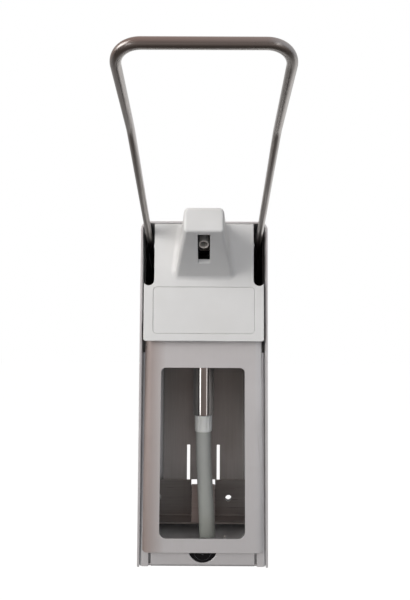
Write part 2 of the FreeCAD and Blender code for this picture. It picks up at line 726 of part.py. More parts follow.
def return_spring():
    low = SPRING_FOOT
    high = ROD_Z[0] - 0.6
    climb = (high - low) / (SPRING_TURNS * 2 * math.pi)

    def at(angle):
        return V(SPRING_R * math.cos(angle), PUMP_Y + SPRING_R * math.sin(angle), low + climb * angle)

    def along(angle):
        return V(-SPRING_R * math.sin(angle), SPRING_R * math.cos(angle), climb).normalize()

    edges = []
    for half_turn in range(SPRING_TURNS * 2):
        a0 = half_turn * math.pi
        a1 = a0 + math.pi
        edges += biarc(at(a0), along(a0), at(a1), along(a1))
    across = V(1, 0, 0)
    up = across.cross(along(0))
    corners = []
    for flat in range(SPRING_FLATS):
        angle = 2 * math.pi * (flat + 0.5) / SPRING_FLATS
        corners.append(at(0) + (across * math.cos(angle) + up * math.sin(angle)) * (SPRING_WIRE / 2))
    pieces = []
    for edge in edges:
        piece, corners = wire_along(edge, corners)
        pieces.append(piece)
    coil = fuse(*pieces)
    print("spring turn gap", round(climb * 2 * math.pi - SPRING_WIRE, 2), "volume", round(coil.Volume, 1))
    return coil


def piston():
    low = ROD_Z[0]
    outer = CYL_BORE_R - 0.25
    passage = 1.6
    collar = ROD_OUT_R + 0.9
    return on_pump([(passage, low), (outer, low), (outer, low + 1.6), (SEAL_SEAT_R, low + 1.6),
                    (SEAL_SEAT_R, low + 4.6), (outer, low + 4.6), (outer, low + 6.0), (collar, low + 6.8),
                    (ROD_OUT_R, low + 6.8), (ROD_OUT_R, low + 1.2), (passage, low + 1.2)])


def piston_seal():
    """Ring with two lips that wipe the barrel."""
    low = ROD_Z[0] + 1.7
    inner = SEAL_SEAT_R + 0.05
    lip = CYL_BORE_R - 0.04
    waist = CYL_BORE_R - 0.45
    return on_pump([(inner, low), (waist, low), (lip, low + 0.5), (lip, low + 1.0), (waist, low + 1.4),
                    (lip, low + 1.8), (lip, low + 2.3), (waist, low + 2.8), (inner, low + 2.8)])


def piston_rod():
    foot = ROD_Z[0] + 1.3
    return tube((0, PUMP_Y, foot), (0, 0, 1), ROD_OUT_R, ROD_BORE_R, ROD_Z[1] - foot)


def pump_head():
    """Moulded head pressed onto the rod, with a groove for the clip and a ball chamber inside."""
    low, high = HEAD_Z
    groove = low + 21.3
    head = on_pump([(0, low), (7.5, low), (7.5, low + 5.0), (13.2, low + 5.0), (13.2, low + 9.0),
                    (HEAD_R, low + 9.0), (HEAD_R, groove), (CLIP_SEAT_R, groove), (CLIP_SEAT_R, groove + 1.2),
                    (HEAD_R, groove + 1.2), (HEAD_R, high - 2.0), (HEAD_R - 2.0, high), (0, high)])
    spout = rod((0, PUMP_Y, OUTLET_Z - 1.5), (0, -1, 0), 5.6, 14.0)
    head = head.fuse(spout.common(block(-HEAD_R, HEAD_R, 2 * PUMP_Y, 0, low, high)))
    head = head.cut(rod((0, PUMP_Y, low - 1), (0, 0, 1), ROD_OUT_R + 0.01, ROD_Z[1] - low + 1))
    head = head.cut(rod((0, PUMP_Y, ROD_Z[1]), (0, 0, 1), BALL_R + 0.6, 5.6))
    head = head.cut(rod((0, PUMP_Y, ROD_Z[1]), (0, 0, 1), 2.0, OUTLET_Z - ROD_Z[1]))
    head = head.cut(rod((0, PUMP_Y + 3.0, OUTLET_Z), (0, -1, 0), OUTLET_BORE_R, 30))
    return head.cut(rod((0, PUMP_Y - 7.0, OUTLET_Z), (0, -1, 0), OUTLET_R + 0.01, 30))


def crosshead():
    """Yoke that sits round the head and takes the two drive pins in its level grooves."""
    low = HEAD_Z[0] + 9.05
    high = HEAD_Z[0] + 21.2
    right = [(11.0, -52.5, 5.0), (15.0, -46.0, 4.0), (32.0, -46.0, 2.0), (32.0, -34.0, 2.0),
             (15.0, -34.0, 4.0), (11.0, -26.0, 5.0)]
    left = [(-x, y, r) for x, y, r in reversed(right)]
    yoke = plate(right + left, "XY", low, high)
    yoke = yoke.cut(rod((0, PUMP_Y, low - 1), (0, 0, 1), HEAD_R + 0.05, 20))
    pin_y, pin_z = drive_point()
    half = DRIVE_PIN_R + 0.05
    groove = rounded(pin_y - 4.0, pin_y + 3.4, pin_z - half, pin_z + half, DRIVE_PIN_R)
    for side in (-1, 1):
        yoke = yoke.cut(side_plate(groove, side, 25.0, 40.0))
    return yoke


def drive_point():
    """Y and Z of the drive pins at rest."""
    angle = math.radians(DRIVE_ANGLE)
    return PIVOT_Y - DRIVE_RADIUS * math.cos(angle), PIVOT_Z + DRIVE_RADIUS * math.sin(angle)


def head_clip():
    low = HEAD_Z[0] + 21.35
    ring = tube((0, PUMP_Y, low), (0, 0, 1), 12.2, CLIP_SEAT_R + 0.05, 1.1)
    return ring.cut(block(-5.0, 5.0, PUMP_Y, 0, low - 1, low + 3))


def outlet_path(radius):
    """Level run out of the head, one bend, and the run that dips to the outlet."""
    dip = math.radians(OUTLET_DIP)
    end_y, end_z = OUTLET_END
    leg = (OUTLET_Z - end_z) / math.sin(dip)
    corner_y = end_y + leg * math.cos(dip)
    reach = OUTLET_BEND_R * math.tan(dip / 2)
    start = V(0, PUMP_Y - 7.2, OUTLET_Z)
    bend_in = V(0, corner_y + reach, OUTLET_Z)
    bend_out = V(0, corner_y - reach * math.cos(dip), OUTLET_Z - reach * math.sin(dip))
    drop = OUTLET_BEND_R * (1 - math.cos(dip / 2))
    middle = V(0, bend_in.y - OUTLET_BEND_R * math.sin(dip / 2), OUTLET_Z - drop)
    runs = [Part.LineSegment(start, bend_in), Part.Arc(bend_in, middle, bend_out),
            Part.LineSegment(bend_out, V(0, end_y, end_z))]
    path = Part.Wire([run.toShape() for run in runs])
    ring = Part.Wire(Part.makeCircle(radius, start, V(0, -1, 0)))
    return path.makePipeShell([ring], True, False)


def outlet_tube():
    return outlet_path(OUTLET_R).cut(outlet_path(OUTLET_BORE_R))


def tube_nut():
    face = PUMP_Y - 14.1
    corner_r = 6.6
    corners = []
    for step in range(6):
        angle = math.radians(60 * step)
        corners.append((corner_r * math.cos(angle), OUTLET_Z + corner_r * math.sin(angle), 0.6))
    nut = plate(corners, "XZ", face - 6.5, face)
    return nut.cut(rod((0, face + 1, OUTLET_Z), (0, -1, 0), OUTLET_R + 0.05, 10))


# Arm lever: a round stainless rod whose two arms are pressed flat
def lever_frame(side):
    """Points and directions along one arm: pivot end, kink, start of the corner bend."""
    rear = math.radians(ARM_RISE)
    front = math.radians(FRONT_RISE)
    pivot = V(side * LEVER_HALF, PIVOT_Y, PIVOT_Z)
    rear_run = V(0, -math.cos(rear), math.sin(rear))
    front_run = V(0, -math.cos(front), math.sin(front))
    kink = pivot + rear_run * ((PIVOT_Y - KINK_Y) / math.cos(rear))
    corner = kink + front_run * ((KINK_Y - BAR_Y) / math.cos(front))
    return pivot, rear_run, kink, front_run, corner


def flat_section(centre, up):
    """Pressed arm's section in four edges, started so that lofts to a round section stay straight."""
    r = ARM_THICK / 2
    rise = ARM_TALL / 2 - r
    across = V(1, 0, 0)
    ends = []
    for sign in (1, -1):
        hub = centre + up * (rise * sign)
        ends.append((hub + across * (r * sign), hub + up * (r * sign), hub - across * (r * sign)))
    edges = [Part.Arc(*ends[0]).toShape(), Part.LineSegment(ends[0][2], ends[1][0]).toShape(),
             Part.Arc(*ends[1]).toShape(), Part.LineSegment(ends[1][2], ends[0][0]).toShape()]
    return Part.Wire(edges)


def round_section(centre, across, up):
    """The round rod's section, split at the same four places as the flat one."""
    split = math.radians(35)

    def at(angle):
        return centre + across * (ROD_R * math.cos(angle)) + up * (ROD_R * math.sin(angle))

    stops = [split, math.pi - split, math.pi + split, 2 * math.pi - split]
    edges = []
    for start, end in zip(stops, stops[1:] + [stops[0] + 2 * math.pi]):
        edges.append(Part.Arc(at(start), at((start + end) / 2), at(end)).toShape())
    return Part.Wire(edges)


def lever_arm(side):
    """Flat run from the pivot's eye, bent at the kink, swelling to the round elbow at the bar."""
    pivot, rear_run, kink, front_run, corner = lever_frame(side)
    across = V(1, 0, 0)
    rear_up = rear_run.cross(across)
    front_up = front_run.cross(across)
    turn = math.radians(ARM_RISE - FRONT_RISE)
    reach = KINK_R * math.tan(turn / 2)
    kink_in = kink - rear_run * reach
    kink_out = kink + front_run * reach
    rear = Part.Face(flat_section(pivot, rear_up)).extrude(kink_in - pivot)
    knee_face = Part.Face(flat_section(kink_in, rear_up))
    knee = knee_face.revolve(kink_in - rear_up * KINK_R, across, math.degrees(turn))
    round_start = corner - front_run * CORNER_R
    round_end = round_section(round_start, across, front_up)
    swell = Part.makeLoft([flat_section(kink_out, front_up), round_end], True, True)
    eye = rod((side * LEVER_HALF - ARM_THICK / 2, PIVOT_Y, PIVOT_Z), (1, 0, 0), EYE_R, ARM_THICK)
    elbow = Part.Face(round_end).revolve(round_start - V(side * CORNER_R, 0, 0), front_up, -side * 90)
    return [rear, knee, swell, eye, elbow]


def lever():
    pieces = lever_arm(-1) + lever_arm(1)
    corner, run = lever_frame(-1)[4], lever_frame(-1)[3]
    start = corner + V(CORNER_R, 0, 0)
    bar = Part.Face(round_section(start, run, run.cross(V(1, 0, 0))))
    pieces.append(bar.extrude(V(2 * (LEVER_HALF - CORNER_R), 0, 0)))
    bow = fuse(*pieces)
    for side in (-1, 1):
        bow = bow.cut(rod((side * 30, PIVOT_Y, PIVOT_Z), (side, 0, 0), PIN_TAIL_R, 20))
    return bow


def pivot_pins():
    profile = [(0, 0), (PIVOT_R - 0.5, 0), (PIVOT_R, 0.5), (PIVOT_R, 5.0), (PIN_TAIL_R, 5.0),
               (PIN_TAIL_R, 9.2), (0, 9.2)]
    places = [(side * 32.8, PIVOT_Y, PIVOT_Z) for side in (-1, 1)]
    return Part.makeCompound([turned(profile, place, (place[0], 0, 0)) for place in places])


def drive_lugs():
    """Ears welded inside the arms, each with the pin that pushes the crosshead."""
    pin_y, pin_z = drive_point()
    half = 4.5
    rise = math.tan(math.radians(ARM_RISE))
    lugs = []
    for side in (-1, 1):
        rear_top = PIVOT_Z + (PIVOT_Y - pin_y - half) * rise + 2.0
        front_top = rear_top + 2 * half * rise
        low = pin_z - 4.0
        shape = [(pin_y - half, low, 3.8), (pin_y + half, low, 3.8), (pin_y + half, rear_top, 1.0),
                 (pin_y - half, front_top, 1.0)]
        pin = rod((side * 26.2, pin_y, pin_z), (side, 0, 0), DRIVE_PIN_R, 10.5)
        lugs.append(fuse(side_plate(shape, side, 35.8, LEVER_HALF - ARM_THICK / 2), pin))
    return Part.makeCompound(lugs)


# Front panel, drawn upright with its face on Y = 0 and its foot on Z = 0, then tipped back
def panel_section():
    """Flat sheet whose two long edges roll back along an arc."""
    turn = math.radians(PANEL_EDGE_TURN)
    flat = PANEL_HALF - PANEL_EDGE_R * math.sin(turn)
    inner_r = PANEL_EDGE_R - PANEL_SHEET

    def at(side, radius, angle):
        return V(side * (flat + radius * math.sin(angle)), PANEL_EDGE_R - radius * math.cos(angle), 0)

    edges = []
    for radius in (PANEL_EDGE_R, inner_r):
        edges.append(Part.LineSegment(at(-1, radius, 0), at(1, radius, 0)).toShape())
        for side in (-1, 1):
            stops = [at(side, radius, part * turn) for part in (0, 0.5, 1)]
            edges.append(Part.Arc(*stops).toShape())
    for side in (-1, 1):
        edges.append(Part.LineSegment(at(side, PANEL_EDGE_R, turn), at(side, inner_r, turn)).toShape())
    return Part.Face(Part.Wire(Part.__sortEdges__(edges)))


def front_panel():
    depth = 2 * PANEL_EDGE_R
    panel = panel_section().extrude(V(0, 0, PANEL_LEN))
    panel = panel.common(plate(rounded(-PANEL_HALF, PANEL_HALF, 0, PANEL_LEN, 2.0, 1.5), "XZ", -1, depth))
    window = rounded(WINDOW_SHIFT - WINDOW_HALF, WINDOW_SHIFT + WINDOW_HALF, *WINDOW_Z, *WINDOW_R)
    panel = lean(panel.cut(plate(window, "XZ", -1, depth)))
    return fuse(panel, panel_ear(-1), panel_ear(1))


def panel_ear(side):
    """Flange behind the panel's upper corner, with a slot that drops over the hinge stud."""
    gap = HINGE_R + 0.06
    front = HINGE_Y - 4.6
    back = HINGE_Y + 4.8
    low = HINGE_Z - 6.0
    high = HINGE_Z + 4.8
    shape = [(back, low, 1.5), (back, high, 3.0), (front, high, 3.0), (front, HINGE_Z + 0.5, 0),
             (front - 1, low, 0)]
    ear = side_plate(shape, side, 40.2, 41.4)
    ear = ear.cut(rod((side * 30, HINGE_Y, HINGE_Z), (side, 0, 0), gap, 20))
    return ear.cut(side_block(side, 40.0, 42.0, HINGE_Y - gap, HINGE_Y + gap, low - 1, HINGE_Z))


def panel_studs():
    """Headed studs riveted through the housing's sides, on which the panel hangs."""
    head_r = 3.4
    shank = 4.3
    profile = [(0, -0.8), (head_r, -0.8), (head_r, 0), (HINGE_R, 0), (HINGE_R, shank), (STUD_TAIL_R, shank),
               (STUD_TAIL_R, shank + SHEET + 0.3), (0, shank + SHEET + 0.3)]
    places = [(side * (INNER - shank - 0.1), HINGE_Y, HINGE_Z) for side in (-1, 1)]
    return Part.makeCompound([turned(profile, place, (place[0], 0, 0)) for place in places])


def panel_catch():
    """Small steel hook behind the panel's foot, with a notch open upwards for the lock's cam."""
    near = PANEL_SHEET + 0.1
    foot = block(8.0, HOOK_X[0] + 0.5, PANEL_SHEET, PANEL_SHEET + 0.9, 1.0, 6.5)
    low = 0.7
    notch = 2.4
    top = 6.5
    shape = [(near, low, 0), (15.6, low, 1.0), (15.6, top, 0.6), (13.6, top, 0.6), (13.6, notch, 0.4),
             (9.9, notch, 0.4), (9.9, top, 0.6), (near, top, 0)]
    return lean(foot.fuse(plate(shape, "YZ", *HOOK_X)))


# Lock in the base plate's notch
def lock_body():
    """Round face in the notch, a riveted back plate and the sleeve that the barrel turns in."""
    top = FLANGE_H - 0.2
    rear = BASE_FRONT_Y + SHEET
    wide = 14.2
    face = rod((0, LOCK_FACE_Y, NOTCH_Z), (0, 1, 0), NOTCH_R - 0.15, 3.4)
    face = face.common(block(-wide, wide, -HOUSING_D, 0, 0, top))
    back_plate = plate(rounded(-wide, wide, 2.4, top, 1.0), "XZ", rear, rear + 1.6)
    body = fuse(face, back_plate, rod((0, rear, LOCK_Z), (0, 1, 0), BARREL_R + 0.1, 6.0))
    body = body.cut(rod((0, LOCK_FACE_Y - 1, LOCK_Z), (0, 1, 0), BARREL_R + 0.06, 3.0))
    body = body.cut(rod((0, LOCK_FACE_Y - 1, LOCK_Z), (0, 1, 0), SPINDLE_R + 0.06, 20))
    for side in (-1, 1):
        body = body.cut(flange_bore(side * LOCK_RIVET[0], LOCK_RIVET[1], 1.05))
    return body


def lock_rivets():
    profile = [(0, -3.9), (1.5, -3.9), (1.5, -3.2), (1.0, -3.2), (1.0, 0), (1.7, 0), (1.4, 0.5), (0, 0.6)]
    places = [(side * LOCK_RIVET[0], BASE_FRONT_Y, LOCK_RIVET[1]) for side in (-1, 1)]
    return Part.makeCompound([turned(profile, place, (0, -1, 0)) for place in places])


def lock_barrel():
    """Turning core with a triangular key socket in front and a square tail for the cam."""
    flange = 1.95
    tail = CAM_Y - 0.15
    half = CAM_SQUARE
    barrel = rod((0, LOCK_FACE_Y, LOCK_Z), (0, 1, 0), BARREL_R, flange)
    barrel = barrel.fuse(rod((0, LOCK_FACE_Y + flange - 0.05, LOCK_Z), (0, 1, 0), SPINDLE_R, 5.5))
    barrel = barrel.fuse(block(-half, half, tail, CAM_Y + CAM_SHEET + 0.15, LOCK_Z - half, LOCK_Z + half))
    key = [(-3.0, LOCK_Z + 2.4, 0.3), (0, LOCK_Z - 2.6, 0.3), (3.0, LOCK_Z + 2.4, 0.3)]
    barrel = barrel.cut(plate(key, "XZ", LOCK_FACE_Y - 1, LOCK_FACE_Y + 1.4))
    return barrel.cut(rod((0, LOCK_FACE_Y + 4, LOCK_Z), (0, 1, 0), 1.2, 8))


def lock_cam():
    half = CAM_SQUARE + 0.02
    hub = rod((0, CAM_Y, LOCK_Z), (0, 1, 0), 5.0, CAM_SHEET)
    arm = plate([(-1.25, -CAM_REACH, 1.2), (1.25, -CAM_REACH, 1.2), (3.0, 0, 0), (-3.0, 0, 0)], "XZ", CAM_Y,
                CAM_Y + CAM_SHEET)
    arm.rotate(V(0, 0, 0), V(0, 1, 0), CAM_ANGLE)
    arm.translate(V(0, 0, LOCK_Z))
    return hub.fuse(arm).cut(block(-half, half, CAM_Y - 1, CAM_Y + 3, LOCK_Z - half, LOCK_Z + half))


def lock_screw():
    return pan_screw((0, CAM_Y + CAM_SHEET + 0.2, LOCK_Z), (0, 1, 0), 1.15, 4.0, 3.4, 1.4)


nodes = {
    "housing_shell": housing_shell(),
    "back_wall": back_wall(),
    "base_plate": base_plate(),
    "left_rail": rail(-1),
    "right_rail": rail(1),
    "housing_rivets": housing_rivets(),
    "back_liner": back_liner(),
    "liner_rivets": liner_rivets(),
    "bottle_rest": bottle_rest(),
    "rest_rivets": rest_rivets(),
    "top_cover": top_cover(),
    "label_plate": label_plate(),
    "cover_screws": cover_screws(),
    "pump_carrier": pump_carrier(),
    "carrier_screws": carrier_screws(),
    "pivot_bushes": pivot_bushes(),
    "pump_cylinder": pump_cylinder(),
    "pump_cap": pump_cap(),
    "rod_seal": rod_seal(),
    "foot_valve": foot_valve(),
    "foot_ball": ball(SEAT_R, VALVE_Z + SEAT_RISE),
    "dip_tube": dip_tube(),
    "return_spring": return_spring(),
    "piston_rod": piston_rod(),
    "piston": piston(),
    "piston_seal": piston_seal(),
    "pump_head": pump_head(),
    "crosshead": crosshead(),
    "head_clip": head_clip(),
    "outlet_ball": ball(ROD_BORE_R, ROD_Z[1]),
    "outlet_tube": outlet_tube(),
    "tube_nut": tube_nut(),
    "lever": lever(),
    "pivot_pins": pivot_pins(),
    "drive_lugs": drive_lugs(),
    "front_panel": front_panel(),
    "panel_studs": panel_studs(),
    "panel_catch": panel_catch(),
    "lock_body": lock_body(),
    "lock_rivets": lock_rivets(),
    "lock_barrel": lock_barrel(),
    "lock_cam": lock_cam(),
    "lock_screw": lock_screw(),
}
for name, shape in nodes.items():
    save(shape, name)
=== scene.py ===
import bmesh
import bpy
import math
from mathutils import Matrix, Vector


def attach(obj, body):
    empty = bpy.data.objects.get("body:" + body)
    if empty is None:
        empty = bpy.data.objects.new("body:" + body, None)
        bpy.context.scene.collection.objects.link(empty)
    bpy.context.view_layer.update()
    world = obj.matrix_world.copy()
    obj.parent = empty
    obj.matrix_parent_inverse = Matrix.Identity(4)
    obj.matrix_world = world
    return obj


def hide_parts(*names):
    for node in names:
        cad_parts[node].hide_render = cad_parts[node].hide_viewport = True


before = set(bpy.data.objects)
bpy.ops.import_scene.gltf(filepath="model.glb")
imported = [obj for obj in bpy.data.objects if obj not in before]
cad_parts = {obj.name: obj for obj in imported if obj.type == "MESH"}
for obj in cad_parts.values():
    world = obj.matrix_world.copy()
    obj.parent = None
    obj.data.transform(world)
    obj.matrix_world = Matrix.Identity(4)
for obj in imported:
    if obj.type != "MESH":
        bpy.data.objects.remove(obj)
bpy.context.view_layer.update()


# Camera
# The photograph was taken from close by, a little below the hood and tipped slightly up,
# with a short lens, so the lever's bow spreads and the housing narrows towards its top.
MM = 0.001
HOUSING_FOOT = -225.0 * MM


def at(x, y, z):
    """Point given in millimetres from the middle plane, the wall and the housing's foot."""
    return Vector((x * MM, y * MM, HOUSING_FOOT + z * MM))


camera_data = bpy.data.cameras.new("photo_camera")
camera_data.sensor_width = 36.0
camera_data.lens = 29.2
camera_data.clip_start = 0.01
camera = bpy.data.objects.new("photo_camera", camera_data)
camera.location = at(1.5, -428.0, 170.7)
camera.rotation_euler = [math.radians(turn) for turn in (92.8, -0.3, 0.1)]
bpy.context.scene.collection.objects.link(camera)
bpy.context.scene.camera = camera
bpy.context.scene.view_settings.view_transform = "Standard"


# Dip tube
# Milky polyethylene hose pushed into the foot valve's socket. It has taken a slight set
# forwards and to the right, and its end is simply cut off square near the bottom of the bay.
def effect_group(name, inputs, outputs):
    """New shader node group with named inputs, given as kind and first value, and named outputs."""
    group = bpy.data.node_groups.new(name, "ShaderNodeTree")
    for label, (kind, value) in inputs.items():
        socket = group.interface.new_socket(label, in_out="INPUT", socket_type="NodeSocket" + kind)
        socket.default_value = value
    for label, kind in outputs.items():
        group.interface.new_socket(label, in_out="OUTPUT", socket_type="NodeSocket" + kind)
    return group, group.nodes.new("NodeGroupInput").outputs, group.nodes.new("NodeGroupOutput").inputs


def add_node(tree, kind, settings=(), **inputs):
    """Node with its options set and its inputs filled or linked. An input is named with _ for a space,
    or _0, _1 and so on for its place."""
    node = tree.nodes.new(kind)
    for option, value in dict(settings).items():
        setattr(node, option, value)
    for label, value in inputs.items():
        place = label[1:]
        socket = node.inputs[int(place) if place.isdigit() else label.replace("_", " ")]
        if isinstance(value, bpy.types.NodeSocket):
            tree.links.new(value, socket)
        else:
            socket.default_value = value
    return node


def ramp(tree, value, low, high, first=0.0, last=1.0, **settings):
    """Value carried from the range low to high over to the range first to last, and held beyond it."""
    return add_node(tree, "ShaderNodeMapRange", settings, Value=value, From_Min=low, From_Max=high,
                    To_Min=first, To_Max=last).outputs[0]


def blend(tree, factor, first, second, mode="MIX"):
    """Colour between first and second, or with MULTIPLY the first colour tinted by the second."""
    mixer = add_node(tree, "ShaderNodeMix", {"data_type": "RGBA", "blend_type": mode}, Factor=factor,
                     A=first, B=second)
    return mixer.outputs["Result"]


def stretched_noise(tree, source, detail):
    """Noise on the group's Place input, drawn out by its Stretch input."""
    place = add_node(tree, "ShaderNodeVectorMath", {"operation": "MULTIPLY"}, _0=source["Place"],
                     _1=source["Stretch"])
    return add_node(tree, "ShaderNodeTexNoise", Vector=place.outputs[0], Scale=source["Scale"],
                    Detail=detail).outputs["Fac"]


PATTERN_INPUTS = {"Place": ("Vector", (0, 0, 0)), "Scale": ("Float", 30.0),
                  "Stretch": ("Vector", (1, 1, 1))}
BLACK = (0.0, 0.0, 0.0, 1.0)
WHITE = (1.0, 1.0, 1.0, 1.0)

cloudy_colour, source, result = effect_group(
    "cloudy_colour", PATTERN_INPUTS | {"Dark": ("Color", BLACK), "Light": ("Color", WHITE)},
    {"Color": "Color"})
clouds = ramp(cloudy_colour, stretched_noise(cloudy_colour, source, 3.0), 0.3, 0.7)
clouded = blend(cloudy_colour, clouds, source["Dark"], source["Light"])
cloudy_colour.links.new(clouded, result["Color"])

fine_grain, source, result = effect_group(
    "fine_grain", PATTERN_INPUTS | {"Smoothest": ("Float", 0.3), "Roughest": ("Float", 0.4)},
    {"Roughness": "Float", "Height": "Float"})
grain = stretched_noise(fine_grain, source, 2.0)
rough = ramp(fine_grain, grain, 0.25, 0.75, source["Smoothest"], source["Roughest"])
fine_grain.links.new(rough, result["Roughness"])
fine_grain.links.new(grain, result["Height"])

# Painted light: a tint that grows along one axis, used below for painted shade and a painted reflection.
fade_along, source, result = effect_group(
    "fade_along", {"Along": ("Float", 0.0), "Start": ("Float", 0.0), "End": ("Float", 1.0),
                   "Color": ("Color", WHITE), "Tint": ("Color", WHITE)}, {"Color": "Color"})
faded = ramp(fade_along, source["Along"], source["Start"], source["End"])
tinted = blend(fade_along, faded, source["Color"], source["Tint"], "MULTIPLY")
fade_along.links.new(tinted, result["Color"])


def put_effect(tree, group, **inputs):
    """One of the groups above, set into a material."""
    return add_node(tree, "ShaderNodeGroup", {"node_tree": group}, **inputs)


def make_finish(name, dark, light, cloud, grain, rough, relief, metal=0.0, follow="Object"):
    """Material between two close colours, with a grain in its gloss and relief. cloud and grain are
    scale and stretch, rough the smoothest and roughest gloss, relief the strength and depth."""
    material = bpy.data.materials.new(name)
    material.use_nodes = True
    tree = material.node_tree
    shader = tree.nodes["Principled BSDF"]
    shader.inputs["Metallic"].default_value = metal
    place = tree.nodes.new("ShaderNodeTexCoord").outputs[follow]
    colour = put_effect(tree, cloudy_colour, Place=place, Scale=cloud[0], Stretch=cloud[1],
                        Dark=(*dark, 1.0), Light=(*light, 1.0))
    tree.links.new(colour.outputs["Color"], shader.inputs["Base Color"])
    texture = put_effect(tree, fine_grain, Place=place, Scale=grain[0], Stretch=grain[1],
                         Smoothest=rough[0], Roughest=rough[1])
    tree.links.new(texture.outputs["Roughness"], shader.inputs["Roughness"])
    bump = add_node(tree, "ShaderNodeBump", Strength=relief[0], Distance=relief[1],
                    Height=texture.outputs["Height"])
    tree.links.new(bump.outputs["Normal"], shader.inputs["Normal"])
    return material


def paint_light_fade(material, axis, start, end, tint):
    """Paints light or shade into a finish, tinting it more and more from start to end along one axis of its
    own coordinates.
    """
    tree = material.node_tree
    colour = tree.nodes["Principled BSDF"].inputs["Base Color"]
    pattern = next(node for node in tree.nodes if node.type == "TEX_COORD")
    source = next(socket for socket in pattern.outputs if socket.is_linked)
    along = add_node(tree, "ShaderNodeSeparateXYZ", Vector=source).outputs[axis]
    faded = put_effect(tree, fade_along, Along=along, Start=start, End=end,
                       Color=colour.links[0].from_socket, Tint=(*tint, 1.0))
    tree.links.new(faded.outputs["Color"], colour)


def ring(shape, centre, across, up, offsets):
    """Vertices round a centre, each offset given along across and up."""
    return [shape.verts.new(centre + across * u + up * v) for u, v in offsets]


def circle(radius, sides=48):
    """Offsets of a round section."""
    turns = [2 * math.pi * step / sides for step in range(sides)]
    return [(radius * math.cos(turn), radius * math.sin(turn)) for turn in turns]


def skin(shape, rings, lengths, girth):
    """Faces from ring to ring, with UVs in metres along and round."""
    uv = shape.loops.layers.uv.verify()
    sides = len(rings[0])
    for near, far, near_length, far_length in zip(rings, rings[1:], lengths, lengths[1:]):
        for step in range(sides):
            ahead = (step + 1) % sides
            corners = [(near[step], near_length, step), (near[ahead], near_length, step + 1),
                       (far[ahead], far_length, step + 1), (far[step], far_length, step)]
            face = shape.faces.new([corner for corner, _, _ in corners])
            for loop, (_, length, part) in zip(face.loops, corners):
                loop[uv].uv = (length, girth * part / sides)


def finish_mesh(shape, name, material, body=None, nodes=(), sharp=40.0):
    """Object from a bmesh, smooth but for edges of more than sharp degrees, with its place in the frame."""
    bmesh.ops.recalc_face_normals(shape, faces=shape.faces)
    for face in shape.faces:
        face.smooth = True
    for edge in shape.edges:
        edge.smooth = edge.calc_face_angle(0.0) < math.radians(sharp)
    mesh = bpy.data.meshes.new(name)
    shape.to_mesh(mesh)
    shape.free()
    mesh.materials.append(material)
    piece = bpy.data.objects.new(name, mesh)
    bpy.context.scene.collection.objects.link(piece)
    if body:
        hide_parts(*nodes)
        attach(piece, body)
    return piece


HOSE_DIAMETER = 12.0 * MM
HOSE_WALL = 1.5 * MM
HOSE_ROUTE = [(0.0, -38.5, 89.2), (0.0, -38.5, 70.0), (1.9, -43.6, 39.0), (3.6, -54.6, 10.4)]


def hose_line():
    """The route's points as control points of one smooth spline, without thickness."""
    line = bpy.data.curves.new("dip_tube_line", "CURVE")
    line.dimensions = "3D"
    line.resolution_u = 16
    spline = line.splines.new("NURBS")
    spline.points.add(len(HOSE_ROUTE) - 1)
    for point, place in zip(spline.points, HOSE_ROUTE):
        point.co = (*at(*place), 1.0)
    spline.order_u = 3
    spline.use_endpoint_u = True
    holder = bpy.data.objects.new("dip_tube_line", line)
    bpy.context.scene.collection.objects.link(holder)
    bpy.context.view_layer.update()
    mesh = bpy.data.meshes.new_from_object(holder.evaluated_get(bpy.context.evaluated_depsgraph_get()))
    points = [vertex.co.copy() for vertex in mesh.vertices]
    bpy.data.objects.remove(holder)
    return points


def run_lengths(points):
    """Length along a line at each of its points."""
    lengths = [0.0]
    for near, far in zip(points, points[1:]):
        lengths.append(lengths[-1] + (far - near).length)
    return lengths


def pipe(shape, points, outer, inner, lip, across=None, sides=48):
    """Hollow round tube along a line, its two mouths rounded over by lip."""
    frames = []
    for index, point in enumerate(points):
        ahead = (points[min(index + 1, len(points) - 1)] - points[max(index - 1, 0)]).normalized()
        side = across or ahead.cross(Vector((0.0, 1.0, 0.0))).normalized()
        frames.append((point, side, side.cross(ahead), ahead))
    half_wall = (outer - inner) / 2
    opening_turns = (90, 60, 30, 0)
    closing_turns = (0, 30, 60)
    rings = []
    for face, radius, order in ((1, outer, frames), (-1, inner, frames[::-1])):
        for place, (point, side, rise, ahead) in enumerate(order):
            if 0 < place < len(order) - 1:
                rings.append((point, side, rise, radius))
                continue
            outwards = face if place else -face
            for angle in closing_turns if place else opening_turns:
                turn = math.radians(angle)
                crown = inner + half_wall + face * (half_wall - lip + lip * math.cos(turn))
                centre = point + ahead * (outwards * lip * (math.sin(turn) - 1))
                rings.append((centre, side, rise, crown))
    loops = [ring(shape, point, side, rise, circle(radius, sides)) for point, side, rise, radius in rings]
    lengths = run_lengths([point for point, _, _, _ in rings])
    skin(shape, loops + loops[:1], lengths + lengths[-1:], 2 * math.pi * outer)


hose_path = hose_line()
hose = bmesh.new()
pipe(hose, hose_path, HOSE_DIAMETER / 2, HOSE_DIAMETER / 2 - HOSE_WALL, lip=0.3 * MM)
milky_hose = make_finish("milky_hose", (0.40, 0.405, 0.385), (0.47, 0.475, 0.45),
                         cloud=(60.0, (0.25, 1.0, 1.0)), grain=(700.0, (0.04, 1.0, 1.0)),
                         rough=(0.34, 0.50), relief=(0.2, 0.1 * MM), follow="UV")
# Painted shade: the hose is tinted darker along its length towards its cut end, low in the bay.
paint_light_fade(milky_hose, "X", start=20.0 * MM, end=80.0 * MM, tint=(0.70, 0.72, 0.70))
hose_shader = milky_hose.node_tree.nodes["Principled BSDF"]
hose_shader.inputs["Subsurface Weight"].default_value = 0.25
hose_shader.inputs["Subsurface Radius"].default_value = (4.0 * MM, 4.2 * MM, 3.6 * MM)
dip_tube = finish_mesh(hose, "dip_tube_hose", milky_hose, "housing", ["dip_tube"])


# Studio
# A pale floor below the hanging housing and a white surround behind it. Polished metal mirrors a
# dimmer, slightly warm room. The main soft lamp stands to the left, as the cover's shading shows.
FLOOR_DROP = 350.0 * MM
FLOOR_WHITE = 0.93


